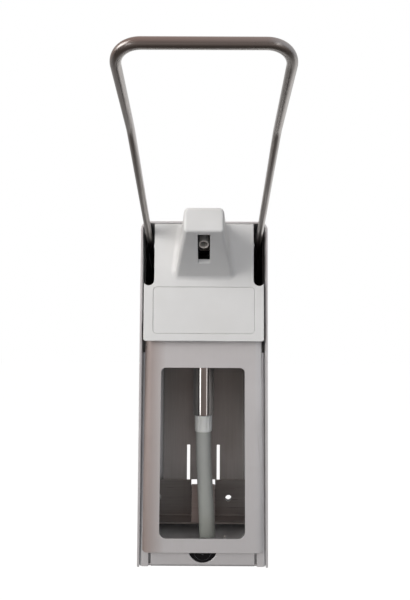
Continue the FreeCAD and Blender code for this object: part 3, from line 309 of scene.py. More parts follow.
def reckon(tree, operation, *values):
    """Result of a sum on values or sockets."""
    slots = {"_%d" % place: value for place, value in enumerate(values)}
    return add_node(tree, "ShaderNodeMath", {"operation": operation}, **slots).outputs[0]


def studio_floor():
    """Floor that shows its shadow, looks white to the camera and is dimmer in reflections."""
    material = bpy.data.materials.new("studio_floor")
    material.use_nodes = True
    tree = material.node_tree
    shader = tree.nodes["Principled BSDF"]
    shader.inputs["Roughness"].default_value = 0.9
    shader.inputs["Specular IOR Level"].default_value = 0.1
    light = tree.nodes.new("ShaderNodeLightPath").outputs
    reflection = light["Is Glossy Ray"]
    darker = blend(tree, reflection, (0.24, 0.225, 0.215, 1.0), (0.09, 0.07, 0.06, 1.0))
    tree.links.new(darker, shader.inputs["Base Color"])
    own_place = tree.nodes.new("ShaderNodeTexCoord").outputs["Object"]
    place = add_node(tree, "ShaderNodeSeparateXYZ", Vector=own_place).outputs
    behind = ramp(tree, place["Y"], 0.10, 0.40, 0.02, 0.85)
    rightwards = ramp(tree, place["X"], -0.4, 0.4, 0.4, 1.4)
    in_front = ramp(tree, place["Y"], -0.35, -0.9, 0.0, 0.2)
    lit = reckon(tree, "ADD", reckon(tree, "MULTIPLY", behind, rightwards), in_front)
    direct = reckon(tree, "MAXIMUM", light["Is Camera Ray"], light["Is Transmission Ray"])
    seen = reckon(tree, "MAXIMUM", direct, reckon(tree, "MULTIPLY", reflection, lit))
    neutral = reckon(tree, "MAXIMUM", ramp(tree, place["Y"], -0.9, -0.3), seen)
    tree.links.new(blend(tree, neutral, (1.0, 0.80, 0.74, 1.0), WHITE), shader.inputs["Emission Color"])
    tree.links.new(reckon(tree, "MULTIPLY", seen, FLOOR_WHITE), shader.inputs["Emission Strength"])
    floor = bmesh.new()
    bmesh.ops.create_grid(floor, x_segments=1, y_segments=1, size=6.0)
    piece = finish_mesh(floor, "studio_floor", material)
    piece.location = (0.0, 0.0, HOUSING_FOOT - FLOOR_DROP)
    return piece


studio_floor()

world = bpy.data.worlds.new("studio_surround")
world.use_nodes = True
bpy.context.scene.world = world
surround = world.node_tree
light = surround.nodes.new("ShaderNodeLightPath").outputs
every_way = surround.nodes.new("ShaderNodeTexCoord").outputs["Generated"]
way = add_node(surround, "ShaderNodeSeparateXYZ", Vector=every_way).outputs
across_room = add_node(surround, "ShaderNodeValToRGB", Fac=ramp(surround, way["X"], -1.0, 1.0))
stops = across_room.color_ramp.elements
stops[0].color = (0.30, 0.22, 0.19, 1.0)
stops[-1].color = (0.50, 0.51, 0.54, 1.0)
for place, colour in ((0.45, (0.32, 0.235, 0.215, 1.0)), (0.62, (0.34, 0.30, 0.29, 1.0))):
    stops.new(place).color = colour
brighter_above = ramp(surround, way["Z"], 0.0, 1.0, 1.0, 1.8)
before = add_node(surround, "ShaderNodeVectorMath", {"operation": "SCALE"},
                  _0=across_room.outputs["Color"], Scale=brighter_above).outputs[0]
backdrop = ramp(surround, way["X"], -0.6, -0.1, 0.55, 1.0)
behind = ramp(surround, way["Y"], 0.0, 1.0, interpolation_type="SMOOTHSTEP")
room = blend(surround, behind, before, backdrop)
fill = blend(surround, light["Is Glossy Ray"], (0.25, 0.25, 0.25, 1.0), room)
looked_at = reckon(surround, "MAXIMUM", light["Is Camera Ray"], light["Is Transmission Ray"])
surround.links.new(blend(surround, looked_at, fill, WHITE), surround.nodes["Background"].inputs["Color"])


def soft_lamp(name, place, target, size, watts, colour=(1.0, 1.0, 1.0), mirrored=True):
    """Rectangular soft lamp of a width and height, turned to its target, seen in metal if mirrored."""
    data = bpy.data.lights.new(name, "AREA")
    data.shape = "RECTANGLE"
    data.size, data.size_y = size
    data.energy = watts
    data.color = colour
    lamp = bpy.data.objects.new(name, data)
    lamp.location = place
    lamp.rotation_euler = (Vector(target) - Vector(place)).to_track_quat("-Z", "Y").to_euler()
    lamp.visible_camera = False
    lamp.visible_glossy = mirrored
    bpy.context.scene.collection.objects.link(lamp)


MIDDLE = (0.0, -0.05, -0.05)
soft_lamp("lamp_left", (-0.78, -1.00, 0.36), MIDDLE, (0.34, 0.6), watts=7.4, colour=(1.0, 0.985, 0.965),
          mirrored=False)
soft_lamp("lamp_bend", (-0.90, -0.60, 0.34), (-0.04, -0.2, 0.06), (0.6, 0.5), watts=2.7)
soft_lamp("lamp_streak", (-0.72, -1.00, -0.27), (0.0, -0.04, -0.1), (0.26, 0.16), watts=0.34)
soft_lamp("lamp_front", (0.15, -1.6, 0.1), MIDDLE, (1.8, 1.35), watts=4.3, colour=(1.0, 0.975, 0.945),
          mirrored=False)
soft_lamp("lamp_low", (0.2, -1.1, -0.50), (0.0, -0.05, -0.15), (0.9, 0.25), watts=1.2,
          colour=(0.50, 0.72, 1.0), mirrored=False)
soft_lamp("lamp_top", (0.0, -0.2, 1.2), (0.0, -0.1, 0.0), (1.6, 1.6), watts=3.8, mirrored=False)
soft_lamp("lamp_right", (0.72, -1.10, -0.15), MIDDLE, (0.16, 0.8), watts=0.5)


# Housing
# Aluminium sheet wrapped up one side, over the top and down the other, with a back tray, a base
# plate and two rails riveted in. All is satin anodised, and handling has rubbed the edges brighter.
handling_marks, source, result = effect_group(
    "handling_marks", {"Place": ("Vector", (0, 0, 0)), "Color": ("Color", WHITE),
                       "Roughness": ("Float", 0.4), "Amount": ("Float", 1.0), "Scale": ("Float", 25.0)},
    {"Color": "Color", "Roughness": "Float"})
smudge = add_node(handling_marks, "ShaderNodeTexNoise", Vector=source["Place"], Scale=source["Scale"],
                  Detail=4.0).outputs["Fac"]
slant = add_node(handling_marks, "ShaderNodeMapping", Vector=source["Place"], Rotation=(0.5, 0.9, 0.3),
                 Scale=(90.0, 900.0, 2.0)).outputs[0]
scratch = add_node(handling_marks, "ShaderNodeTexNoise", Vector=slant, Scale=1.0, Detail=1.0).outputs["Fac"]
marks = reckon(handling_marks, "MAXIMUM", ramp(handling_marks, smudge, 0.5, 0.72),
               ramp(handling_marks, scratch, 0.72, 0.76))
marks = reckon(handling_marks, "MULTIPLY", marks, source["Amount"])
duller = reckon(handling_marks, "MULTIPLY_ADD", marks, 0.10, source["Roughness"])
worn = blend(handling_marks, marks, source["Color"], (0.93, 0.925, 0.915, 1.0), "MULTIPLY")
handling_marks.links.new(duller, result["Roughness"])
handling_marks.links.new(worn, result["Color"])


def add_marks(material, amount, scale):
    """Lays faint smudges and hairline scratches over a finish."""
    tree = material.node_tree
    shader = tree.nodes["Principled BSDF"]
    colour, gloss = shader.inputs["Base Color"], shader.inputs["Roughness"]
    marked = put_effect(tree, handling_marks, Place=tree.nodes["Texture Coordinate"].outputs["Object"],
                        Color=colour.links[0].from_socket, Roughness=gloss.links[0].from_socket,
                        Amount=amount, Scale=scale)
    tree.links.new(marked.outputs["Color"], colour)
    tree.links.new(marked.outputs["Roughness"], gloss)


def broken_edges(node, body, material, edge_material, width, segments=2):
    """The node's own shape with its sharp edges taken off, as a finishing wheel or mould leaves them."""
    shape = bmesh.new()
    shape.from_mesh(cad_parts[node].data)
    bmesh.ops.remove_doubles(shape, verts=shape.verts, dist=0.002 * MM)
    bmesh.ops.dissolve_limit(shape, angle_limit=math.radians(0.6), verts=shape.verts, edges=shape.edges)
    mesh = bpy.data.meshes.new(node + "_finished")
    shape.to_mesh(mesh)
    shape.free()
    mesh.shade_smooth()
    mesh.materials.clear()
    mesh.materials.append(material)
    mesh.materials.append(edge_material)
    piece = bpy.data.objects.new(node + "_finished", mesh)
    bpy.context.scene.collection.objects.link(piece)
    bevel = piece.modifiers.new("edges", "BEVEL")
    bevel.width = width
    bevel.segments = segments
    bevel.limit_method = "ANGLE"
    bevel.angle_limit = math.radians(32.0)
    bevel.use_clamp_overlap = False
    bevel.material = 1
    weighted = piece.modifiers.new("shading", "WEIGHTED_NORMAL")
    weighted.keep_sharp = True
    weighted.weight = 80
    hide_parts(node)
    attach(piece, body)


EVEN = (1.0, 1.0, 1.0)


def satin_aluminium(name, dark, light, stretch, rough):
    finish = make_finish(name, dark, light, cloud=(14.0, EVEN), grain=(1500.0, stretch), rough=rough,
                         relief=(0.12, 0.04 * MM), metal=0.7)
    add_marks(finish, amount=0.8, scale=22.0)
    return finish


aluminium = satin_aluminium("satin_aluminium", (0.79, 0.80, 0.81), (0.86, 0.87, 0.88),
                            stretch=(1.0, 1.0, 0.04), rough=(0.48, 0.60))
rubbed_edge = satin_aluminium("rubbed_edge", (0.84, 0.85, 0.86), (0.90, 0.91, 0.92),
                              stretch=(1.0, 1.0, 0.2), rough=(0.36, 0.46))
broken_edges("housing_shell", "housing", aluminium, rubbed_edge, 0.4 * MM, segments=3)
for node, broken in (("back_wall", 0.12), ("base_plate", 0.25), ("left_rail", 0.2), ("right_rail", 0.2)):
    broken_edges(node, "housing", aluminium, rubbed_edge, broken * MM)


# Housing rivets
# Solid countersunk rivets set flush in the sides, six a side, with their tails closed inside.
# All the fasteners here are turned forms on points that face outwards, from one node tree.
FASTENER_SIZES = ("Head Radius", "Head Height", "Sink", "Shank Radius", "Grip", "Tail Radius", "Tail Height",
                  "Recess Radius", "Recess Depth", "Cross Length", "Cross Width")
fastener_tree = bpy.data.node_groups.new("turned_fasteners", "GeometryNodeTree")
fastener_tree.interface.new_socket("Geometry", in_out="INPUT", socket_type="NodeSocketGeometry")
for label in FASTENER_SIZES:
    fastener_tree.interface.new_socket(label, in_out="INPUT", socket_type="NodeSocketFloat")
fastener_tree.interface.new_socket("Sides", in_out="INPUT", socket_type="NodeSocketInt").default_value = 48
fastener_tree.interface.new_socket("Seed", in_out="INPUT", socket_type="NodeSocketInt").default_value = 7
fastener_tree.interface.new_socket("Material", in_out="INPUT", socket_type="NodeSocketMaterial")
fastener_tree.interface.new_socket("Geometry", in_out="OUTPUT", socket_type="NodeSocketGeometry")
given = fastener_tree.nodes.new("NodeGroupInput").outputs


def worked(operation, *values):
    """Result of a sum on the tree's sizes."""
    return reckon(fastener_tree, operation, *values)


def by_station(values):
    """Value for each station of the turned profile, from the shank's end to the middle of the head."""
    switch = add_node(fastener_tree, "GeometryNodeIndexSwitch", {"data_type": "FLOAT"}, Index=station)
    while len(switch.index_switch_items) < len(values):
        switch.index_switch_items.new()
    for place, value in enumerate(values):
        socket = switch.inputs[1 + place]
        if isinstance(value, bpy.types.NodeSocket):
            fastener_tree.links.new(value, socket)
        else:
            socket.default_value = value
    return switch.outputs[0]


index = fastener_tree.nodes.new("GeometryNodeInputIndex").outputs[0]
around = worked("ADD", given["Sides"], 1.0)
station = worked("FLOOR", worked("DIVIDE", index, around))
turn = worked("MULTIPLY", worked("DIVIDE", worked("MODULO", index, around), given["Sides"]), 2 * math.pi)
tail_end = worked("MULTIPLY", worked("ADD", given["Grip"], given["Tail Height"]), -1.0)
grip_end = worked("MULTIPLY", given["Grip"], -1.0)
sink_end = worked("MULTIPLY", given["Sink"], -1.0)
recess_floor = worked("SUBTRACT", given["Head Height"], given["Recess Depth"])
stations = [(0.0, tail_end), (given["Tail Radius"], tail_end), (given["Tail Radius"], grip_end),
            (given["Shank Radius"], grip_end), (given["Shank Radius"], sink_end), (given["Head Radius"], 0.0)]
for radius_part, height_part in ((1.0, 0.3), (0.97, 0.55), (0.88, 0.78), (0.72, 0.93), (0.55, 1.0)):
    stations.append((worked("MULTIPLY", given["Head Radius"], radius_part),
                     worked("MULTIPLY", given["Head Height"], height_part)))
stations += [(given["Recess Radius"], given["Head Height"]),
             (worked("MULTIPLY", given["Recess Radius"], 0.85), recess_floor), (0.0, recess_floor)]
radius = by_station([value for value, _ in stations])
height = by_station([value for _, value in stations])
lattice = add_node(fastener_tree, "GeometryNodeMeshGrid", Vertices_X=len(stations), Vertices_Y=around)
place = add_node(fastener_tree, "ShaderNodeCombineXYZ", X=worked("MULTIPLY", radius, worked("COSINE", turn)),
                 Y=worked("MULTIPLY", radius, worked("SINE", turn)), Z=height)
formed = add_node(fastener_tree, "GeometryNodeSetPosition", Geometry=lattice.outputs["Mesh"],
                  Position=place.outputs[0])
formed = add_node(fastener_tree, "GeometryNodeMergeByDistance", Geometry=formed.outputs[0],
                  Distance=0.001 * MM)
formed = add_node(fastener_tree, "GeometryNodeFlipFaces", Mesh=formed.outputs[0])
bars = fastener_tree.nodes.new("GeometryNodeJoinGeometry")
for long_side in ("X", "Y"):
    sides = {"X": given["Cross Width"], "Y": given["Cross Width"], "Z": given["Head Height"]}
    sides[long_side] = given["Cross Length"]
    size = add_node(fastener_tree, "ShaderNodeCombineXYZ", **sides)
    bar = add_node(fastener_tree, "GeometryNodeMeshCube", Size=size.outputs[0])
    lift = add_node(fastener_tree, "ShaderNodeCombineXYZ", Z=given["Head Height"])
    raised = add_node(fastener_tree, "GeometryNodeTransform", Geometry=bar.outputs["Mesh"],
                      Translation=lift.outputs[0])
    fastener_tree.links.new(raised.outputs[0], bars.inputs[0])
crossed = fastener_tree.nodes.new("GeometryNodeMeshBoolean")
crossed.operation = "DIFFERENCE"
crossed.solver = "EXACT"
crossed.inputs["Self Intersection"].default_value = True
fastener_tree.links.new(formed.outputs[0], crossed.inputs["Mesh 1"])
fastener_tree.links.new(bars.outputs[0], crossed.inputs["Mesh 2"])
chosen = fastener_tree.nodes.new("GeometryNodeSwitch")
chosen.input_type = "GEOMETRY"
fastener_tree.links.new(worked("GREATER_THAN", given["Cross Length"], 0.0), chosen.inputs["Switch"])
fastener_tree.links.new(formed.outputs[0], chosen.inputs["False"])
fastener_tree.links.new(crossed.outputs[0], chosen.inputs["True"])
facing = add_node(fastener_tree, "GeometryNodeInputNamedAttribute", {"data_type": "FLOAT_VECTOR"},
                  Name="facing")
aimed = add_node(fastener_tree, "FunctionNodeAlignRotationToVector", {"axis": "Z"},
                 Vector=facing.outputs["Attribute"])
spun = add_node(fastener_tree, "FunctionNodeRandomValue", {"data_type": "FLOAT"}, Seed=given["Seed"])
spin = add_node(fastener_tree, "ShaderNodeCombineXYZ", Z=worked("MULTIPLY", spun.outputs[1], 2 * math.pi))
spin = add_node(fastener_tree, "FunctionNodeEulerToRotation", Euler=spin.outputs[0])
turned_to = add_node(fastener_tree, "FunctionNodeRotateRotation", {"rotation_space": "LOCAL"},
                     Rotation=aimed.outputs[0], Rotate_By=spin.outputs[0])
placed = add_node(fastener_tree, "GeometryNodeInstanceOnPoints", Points=given["Geometry"],
                  Instance=chosen.outputs[0], Rotation=turned_to.outputs[0])
real = add_node(fastener_tree, "GeometryNodeRealizeInstances", Geometry=placed.outputs[0])
coated = add_node(fastener_tree, "GeometryNodeSetMaterial", Geometry=real.outputs[0],
                  Material=given["Material"])
fastener_tree.links.new(coated.outputs[0], fastener_tree.nodes.new("NodeGroupOutput").inputs["Geometry"])


def fasteners(name, node, body, slot, material, places, **sizes):
    """Row of rivets or screws at (point, outward direction) places, with sizes in millimetres."""
    points = bpy.data.meshes.new(name + "_points")
    points.from_pydata([point for point, _ in places], [], [])
    directions = points.attributes.new("facing", "FLOAT_VECTOR", "POINT")
    for entry, (_, direction) in zip(directions.data, places):
        entry.vector = direction
    holder = bpy.data.objects.new(name + "_points", points)
    bpy.context.scene.collection.objects.link(holder)
    maker = holder.modifiers.new("fasteners", "NODES")
    maker.node_group = fastener_tree
    for item in fastener_tree.interface.items_tree:
        if item.in_out == "INPUT" and item.name in FASTENER_SIZES:
            maker[item.identifier] = sizes.get(item.name.lower().replace(" ", "_"), 0.0) * MM
        elif item.in_out == "INPUT" and item.name == "Material":
            maker[item.identifier] = material
    bpy.context.view_layer.update()
    made = bpy.data.meshes.new_from_object(holder.evaluated_get(bpy.context.evaluated_depsgraph_get()))
    bpy.data.objects.remove(holder)
    shape = bmesh.new()
    shape.from_mesh(made)
    finish_mesh(shape, name, material, body, [node], sharp=25.0)


rivet_aluminium = satin_aluminium("rivet_aluminium", (0.56, 0.565, 0.57), (0.66, 0.665, 0.67), EVEN,
                                  rough=(0.28, 0.42))
RAIL_FOOT_Y = -69.8
RAIL_SLOPE = math.tan(math.radians(2.1))
rail_rivets = [(RAIL_FOOT_Y + height * RAIL_SLOPE, height) for height in (30.0, 125.0)]
side_rivets = [(-8.0, 45.0), (-8.0, 120.0), (-8.0, 228.0), (-38.0, 6.0)] + rail_rivets
fasteners("side_rivets", "housing_rivets", "housing", "rivet_aluminium", rivet_aluminium,
          [(at(side * 46.0, y, z), (side, 0.0, 0.0)) for side in (-1, 1) for y, z in side_rivets],
          head_radius=2.85, head_height=0.08, sink=0.95, shank_radius=1.6, grip=3.3, tail_radius=2.3,
          tail_height=0.6)


# Back liner and its rivets
# Thin brushed stainless sheet behind the bottle, with two slots through which the wall shows,
# held at its top by two domed pop rivets.
def brushed_stainless(name, dark, light, stretch, rough):
    brushing = (1500.0, stretch)
    finish = make_finish(name, dark, light, cloud=brushing, grain=brushing, rough=rough,
                         relief=(0.15, 0.03 * MM), metal=0.65)
    add_marks(finish, amount=1.0, scale=30.0)
    return finish


def dress(node, material):
    """Puts a material on a node that stays as it is."""
    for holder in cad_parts[node].material_slots:
        holder.material = material


liner_steel_painted_shade = brushed_stainless("liner_stainless", (0.50, 0.48, 0.465), (0.57, 0.55, 0.535),
                                stretch=(1.0, 1.0, 0.02), rough=(0.30, 0.48))
# Painted shade: the sheet is tinted darker towards its top, where the cover and panel shade it.
paint_light_fade(liner_steel_painted_shade, "Z", start=HOUSING_FOOT + 55.0 * MM, end=HOUSING_FOOT + 115.0 * MM,
         tint=(0.62, 0.61, 0.60))
broken_edges("back_liner", "housing", liner_steel_painted_shade, liner_steel_painted_shade, 0.08 * MM)
fasteners("liner_pop_rivets", "liner_rivets", "housing", "rivet_aluminium", rivet_aluminium,
          [(at(side * 26.0, -5.2, 156.0), (0.0, -1.0, 0.0)) for side in (-1, 1)],
          head_radius=3.1, head_height=1.0, shank_radius=1.6, grip=5.1, tail_radius=1.6,
          recess_radius=1.1, recess_depth=0.5)


# Bottle rest and its rivets
# Stainless bracket with a narrow shelf for the bottle's back edge and a sloping tongue bent
# out of its upright, held at both ends by hollow pop rivets.
rest_steel = brushed_stainless("rest_stainless", (0.33, 0.31, 0.30), (0.39, 0.37, 0.36),
                               stretch=(0.02, 1.0, 1.0), rough=(0.26, 0.42))
steel_edge = brushed_stainless("steel_edge", (0.58, 0.56, 0.54), (0.66, 0.64, 0.62),
                               stretch=(0.05, 1.0, 1.0), rough=(0.20, 0.34))
broken_edges("bottle_rest", "housing", rest_steel, steel_edge, 0.12 * MM)
fasteners("rest_pop_rivets", "rest_rivets", "housing", "rivet_aluminium", rivet_aluminium,
          [(at(side * 39.0, -6.4, 23.5), (0.0, -1.0, 0.0)) for side in (-1, 1)],
          head_radius=3.25, head_height=0.95, shank_radius=1.6, grip=6.3, tail_radius=1.6,
          recess_radius=1.2, recess_depth=1.2)


# Top cover
# White moulded shell with the hood for the outlet tube, a slot for each lever arm and a
# shallow recess for a label. Two pan-head screws hold it from below.
def moulded_plastic(name, dark, light, rough, pebble):
    finish = make_finish(name, dark, light, cloud=(30.0, EVEN), grain=(pebble, EVEN), rough=rough,
                         relief=(0.10, 0.06 * MM))
    add_marks(finish, amount=0.5, scale=28.0)
    return finish


SHELL_WHITES = ((0.75, 0.742, 0.73), (0.79, 0.782, 0.77))
white_shell = moulded_plastic("white_shell", *SHELL_WHITES, rough=(0.30, 0.39), pebble=1600.0)
broken_edges("top_cover", "housing", white_shell, white_shell, 0.5 * MM, segments=3)
zinc = satin_aluminium("zinc_plate", (0.50, 0.50, 0.47), (0.62, 0.62, 0.60), EVEN, rough=(0.25, 0.36))
fasteners("cover_pan_screws", "cover_screws", "housing", "zinc_steel", zinc,
          [(at(side * 28.0, -75.6, 168.0), (0.0, 0.0, -1.0)) for side in (-1, 1)],
          head_radius=2.7, head_height=1.9, shank_radius=1.25, grip=11.5, tail_radius=1.25,
          cross_length=3.0, cross_width=0.6)


# Label plate
# Blank satin plate lying in the cover's recess, with a hairline gap all round.
blank_label = moulded_plastic("blank_label", *SHELL_WHITES, rough=(0.38, 0.47), pebble=2500.0)
broken_edges("label_plate", "housing", blank_label, blank_label, 0.12 * MM)


# Pump carrier, its screws and the lever's bushes
# One black moulding whose deck holds the pump and whose cheeks hold the lever's two natural
# plastic bushes. Four pan-head screws through the back tray hold it.
black_moulding = moulded_plastic("black_moulding", (0.010, 0.010, 0.011), (0.018, 0.018, 0.019),
                                 rough=(0.40, 0.52), pebble=1400.0)
broken_edges("pump_carrier", "housing", black_moulding, black_moulding, 0.2 * MM)
fasteners("carrier_pan_screws", "carrier_screws", "housing", "zinc_steel", zinc,
          [(at(side * 24.0, -4.6, z), (0.0, -1.0, 0.0)) for side in (-1, 1) for z in (182.0, 206.0)],
          head_radius=3.6, head_height=2.3, shank_radius=1.6, grip=4.4, tail_radius=1.6,
          cross_length=4.2, cross_width=0.8)
natural_plastic = moulded_plastic("natural_plastic", (0.66, 0.66, 0.635), (0.80, 0.80, 0.775),
                                  rough=(0.24, 0.40), pebble=900.0)
natural_shader = natural_plastic.node_tree.nodes["Principled BSDF"]
natural_shader.inputs["Subsurface Weight"].default_value = 0.3
natural_shader.inputs["Subsurface Radius"].default_value = (3.0 * MM, 3.0 * MM, 2.6 * MM)
dress("pivot_bushes", natural_plastic)


# Pump cylinder, its cap and seal
# Drawn and polished stainless barrel that hangs from its rolled flange on the carrier's deck,
# closed by a black moulded cap with a rubber seal for the rod.
PUMP_Y = -38.5


def lathe(shape, profile, sides=96, ripple=None):
    """Ring turned about the pump's axis, its section given as (radius, height) points in millimetres."""
    loops = []
    for radius, height in profile:
        offsets = circle(radius * MM, sides)
        if ripple:
            offsets = [(u * ripple(step, height), v * ripple(step, height))
                       for step, (u, v) in enumerate(offsets)]
        loops.append(ring(shape, at(0.0, PUMP_Y, height), Vector((1, 0, 0)), Vector((0, 1, 0)), offsets))
    outline = [Vector((radius * MM, height * MM, 0.0)) for radius, height in profile + profile[:1]]
    widest = max(radius for radius, _ in profile) * MM
    skin(shape, loops + loops[:1], run_lengths(outline), 2 * math.pi * widest)


LENGTHWISE = (0.02, 1.0, 1.0)
polished_steel = make_finish("polished_steel", (0.50, 0.485, 0.47), (0.60, 0.585, 0.57),
                             cloud=(300.0, (0.03, 1.0, 1.0)), grain=(900.0, LENGTHWISE),
                             rough=(0.05, 0.12), relief=(0.04, 0.02 * MM), metal=1.0, follow="UV")
add_marks(polished_steel, amount=0.6, scale=40.0)
barrel = bmesh.new()
lathe(barrel, [(7.6, 99.4), (7.72, 99.22), (8.28, 99.2), (8.4, 99.4), (8.4, 99.7), (8.4, 170.8),
               (8.4, 171.35), (8.55, 171.5), (11.65, 171.5), (11.8, 171.65), (11.8, 172.15),
               (11.65, 172.3), (7.75, 172.3), (7.6, 172.15)])
finish_mesh(barrel, "pump_barrel", polished_steel, "housing", ["pump_cylinder"])
seal_rubber = moulded_plastic("seal_rubber", (0.02, 0.02, 0.02), (0.03, 0.03, 0.03), rough=(0.55, 0.68),
                              pebble=2200.0)
dress("pump_cap", black_moulding)
dress("rod_seal", seal_rubber)


# Foot valve
# Translucent natural moulding pressed into the barrel's end, ribbed for grip, with the
# dip tube's socket below and the ball chamber inside.
COLLAR_SIDES = 192
COLLAR_GROOVES = 6
COLLAR_FLUTES = 16
RIBBED_BAND = (88.2, 98.7)


def ribbed(step, height):
    """How far the collar's radius shrinks in its shallow flutes and its few deeper grooves."""
    if not RIBBED_BAND[0] < height < RIBBED_BAND[1]:
        return 1.0
    turn = step / COLLAR_SIDES
    part = turn * COLLAR_GROOVES
    groove = 0.08 * math.exp(-((part - round(part)) / 0.07) ** 2)
    flute = 0.014 * (1 + math.cos(turn * 2 * math.pi * COLLAR_FLUTES))
    return 1.0 - groove - flute


collar = bmesh.new()
lathe(collar, [(1.95, 92.2), (1.7, 90.8), (4.5, 89.2), (6.05, 89.2), (6.05, 86.35), (6.2, 86.2), (6.45, 86.2),
               (6.6, 86.6), (6.85, 87.9), (6.9, 88.3), (6.9, 98.6), (6.9, 99.5), (7.5, 100.1), (7.5, 102.3),
               (7.4, 102.4), (2.2, 102.4), (2.1, 102.3), (2.1, 98.2), (3.1, 97.6), (3.1, 92.2)],
      COLLAR_SIDES, ribbed)
finish_mesh(collar, "foot_valve_body", natural_plastic, "housing", ["foot_valve"], sharp=55.0)


# Pump rod, piston, seals, balls and spring
# Stainless rod, wire and balls with a natural plastic piston and rubber seals, all inside the
# barrel, with the black head and crosshead pushed on top and a stainless clip between them.
plain_steel = make_finish("plain_steel", (0.46, 0.455, 0.45), (0.56, 0.555, 0.55), cloud=(200.0, EVEN),
                          grain=(700.0, EVEN), rough=(0.14, 0.26), relief=(0.06, 0.02 * MM), metal=1.0)
for node in ("return_spring", "piston_rod", "head_clip", "outlet_ball", "foot_ball"):
    dress(node, plain_steel)
dress("piston", natural_plastic)
dress("piston_seal", seal_rubber)
for node, soft in (("pump_head", 0.25), ("crosshead", 0.2)):
    broken_edges(node, "pump", black_moulding, black_moulding, soft * MM)


# Outlet tube and its nut
# Thin polished stainless tube from the head, bent down inside the hood, with its mouth
# rounded over. A hexagon nut holds it to the head.
OUTLET_START = (-45.7, 232.0)
OUTLET_END = (-115.0, 221.8)
OUTLET_DIP = math.radians(51.0)
OUTLET_BEND = 14.0
OUTLET_BEND_STEPS = 16
OUTLET_RADIUS = 3.25 * MM
OUTLET_BORE = 2.55 * MM
leg = (OUTLET_START[1] - OUTLET_END[1]) / math.sin(OUTLET_DIP)
corner_y = OUTLET_END[0] + leg * math.cos(OUTLET_DIP)
reach = OUTLET_BEND * math.tan(OUTLET_DIP / 2)
outlet_line = [OUTLET_START]
for step in range(OUTLET_BEND_STEPS + 1):
    bent = OUTLET_DIP * step / OUTLET_BEND_STEPS
    outlet_line.append((corner_y + reach - OUTLET_BEND * math.sin(bent),
                        OUTLET_START[1] - OUTLET_BEND * (1 - math.cos(bent))))
outlet_line.append(OUTLET_END)
outlet = bmesh.new()
pipe(outlet, [at(0.0, y, z) for y, z in outlet_line], OUTLET_RADIUS, OUTLET_BORE, lip=0.33 * MM,
     across=Vector((1.0, 0.0, 0.0)))
outlet_steel = make_finish("outlet_steel", (0.72, 0.69, 0.65), (0.82, 0.79, 0.75),
                           cloud=(300.0, (0.03, 1.0, 1.0)), grain=(900.0, LENGTHWISE),
                           rough=(0.18, 0.30), relief=(0.06, 0.02 * MM), metal=0.6, follow="UV")
finish_mesh(outlet, "outlet_pipe", outlet_steel, "pump", ["outlet_tube"])
broken_edges("tube_nut", "pump", plain_steel, plain_steel, 0.25 * MM)


# Arm lever, its pins and drive lugs
# Round stainless rod, ground to a dark satin and bent to a bow. Its arms are pressed flat towards
# their eyes and turn on pins riveted into the eyes. The drive lugs are welded inside the arms.
LEVER_HALF = 40.0
PIVOT = (-14.0, 205.0)
REAR_RISE = math.radians(24.9)
FRONT_RISE = math.radians(14.2)
KINK_Y = -167.6
BAR_Y = -225.0
CORNER_R = 13.0
KINK_R = 30.0
EYE_R = 5.0
ARM_THICK = 4.4
ARM_TALL = 5.8
ROD_R = 2.6
PIN_HOLE_R = 2.0
EYE_STEPS = 16
ARM_STEPS = 8
SWELL_STEPS = 16
CORNER_STEPS = 32
RIGHTWARDS = Vector((1.0, 0.0, 0.0))


def along(rise):
    """Direction away from the wall, climbing by an angle."""
    return Vector((0.0, -math.cos(rise), math.sin(rise)))


def above(rise):
    """Direction square to along, upwards."""
    return Vector((0.0, math.sin(rise), math.cos(rise)))


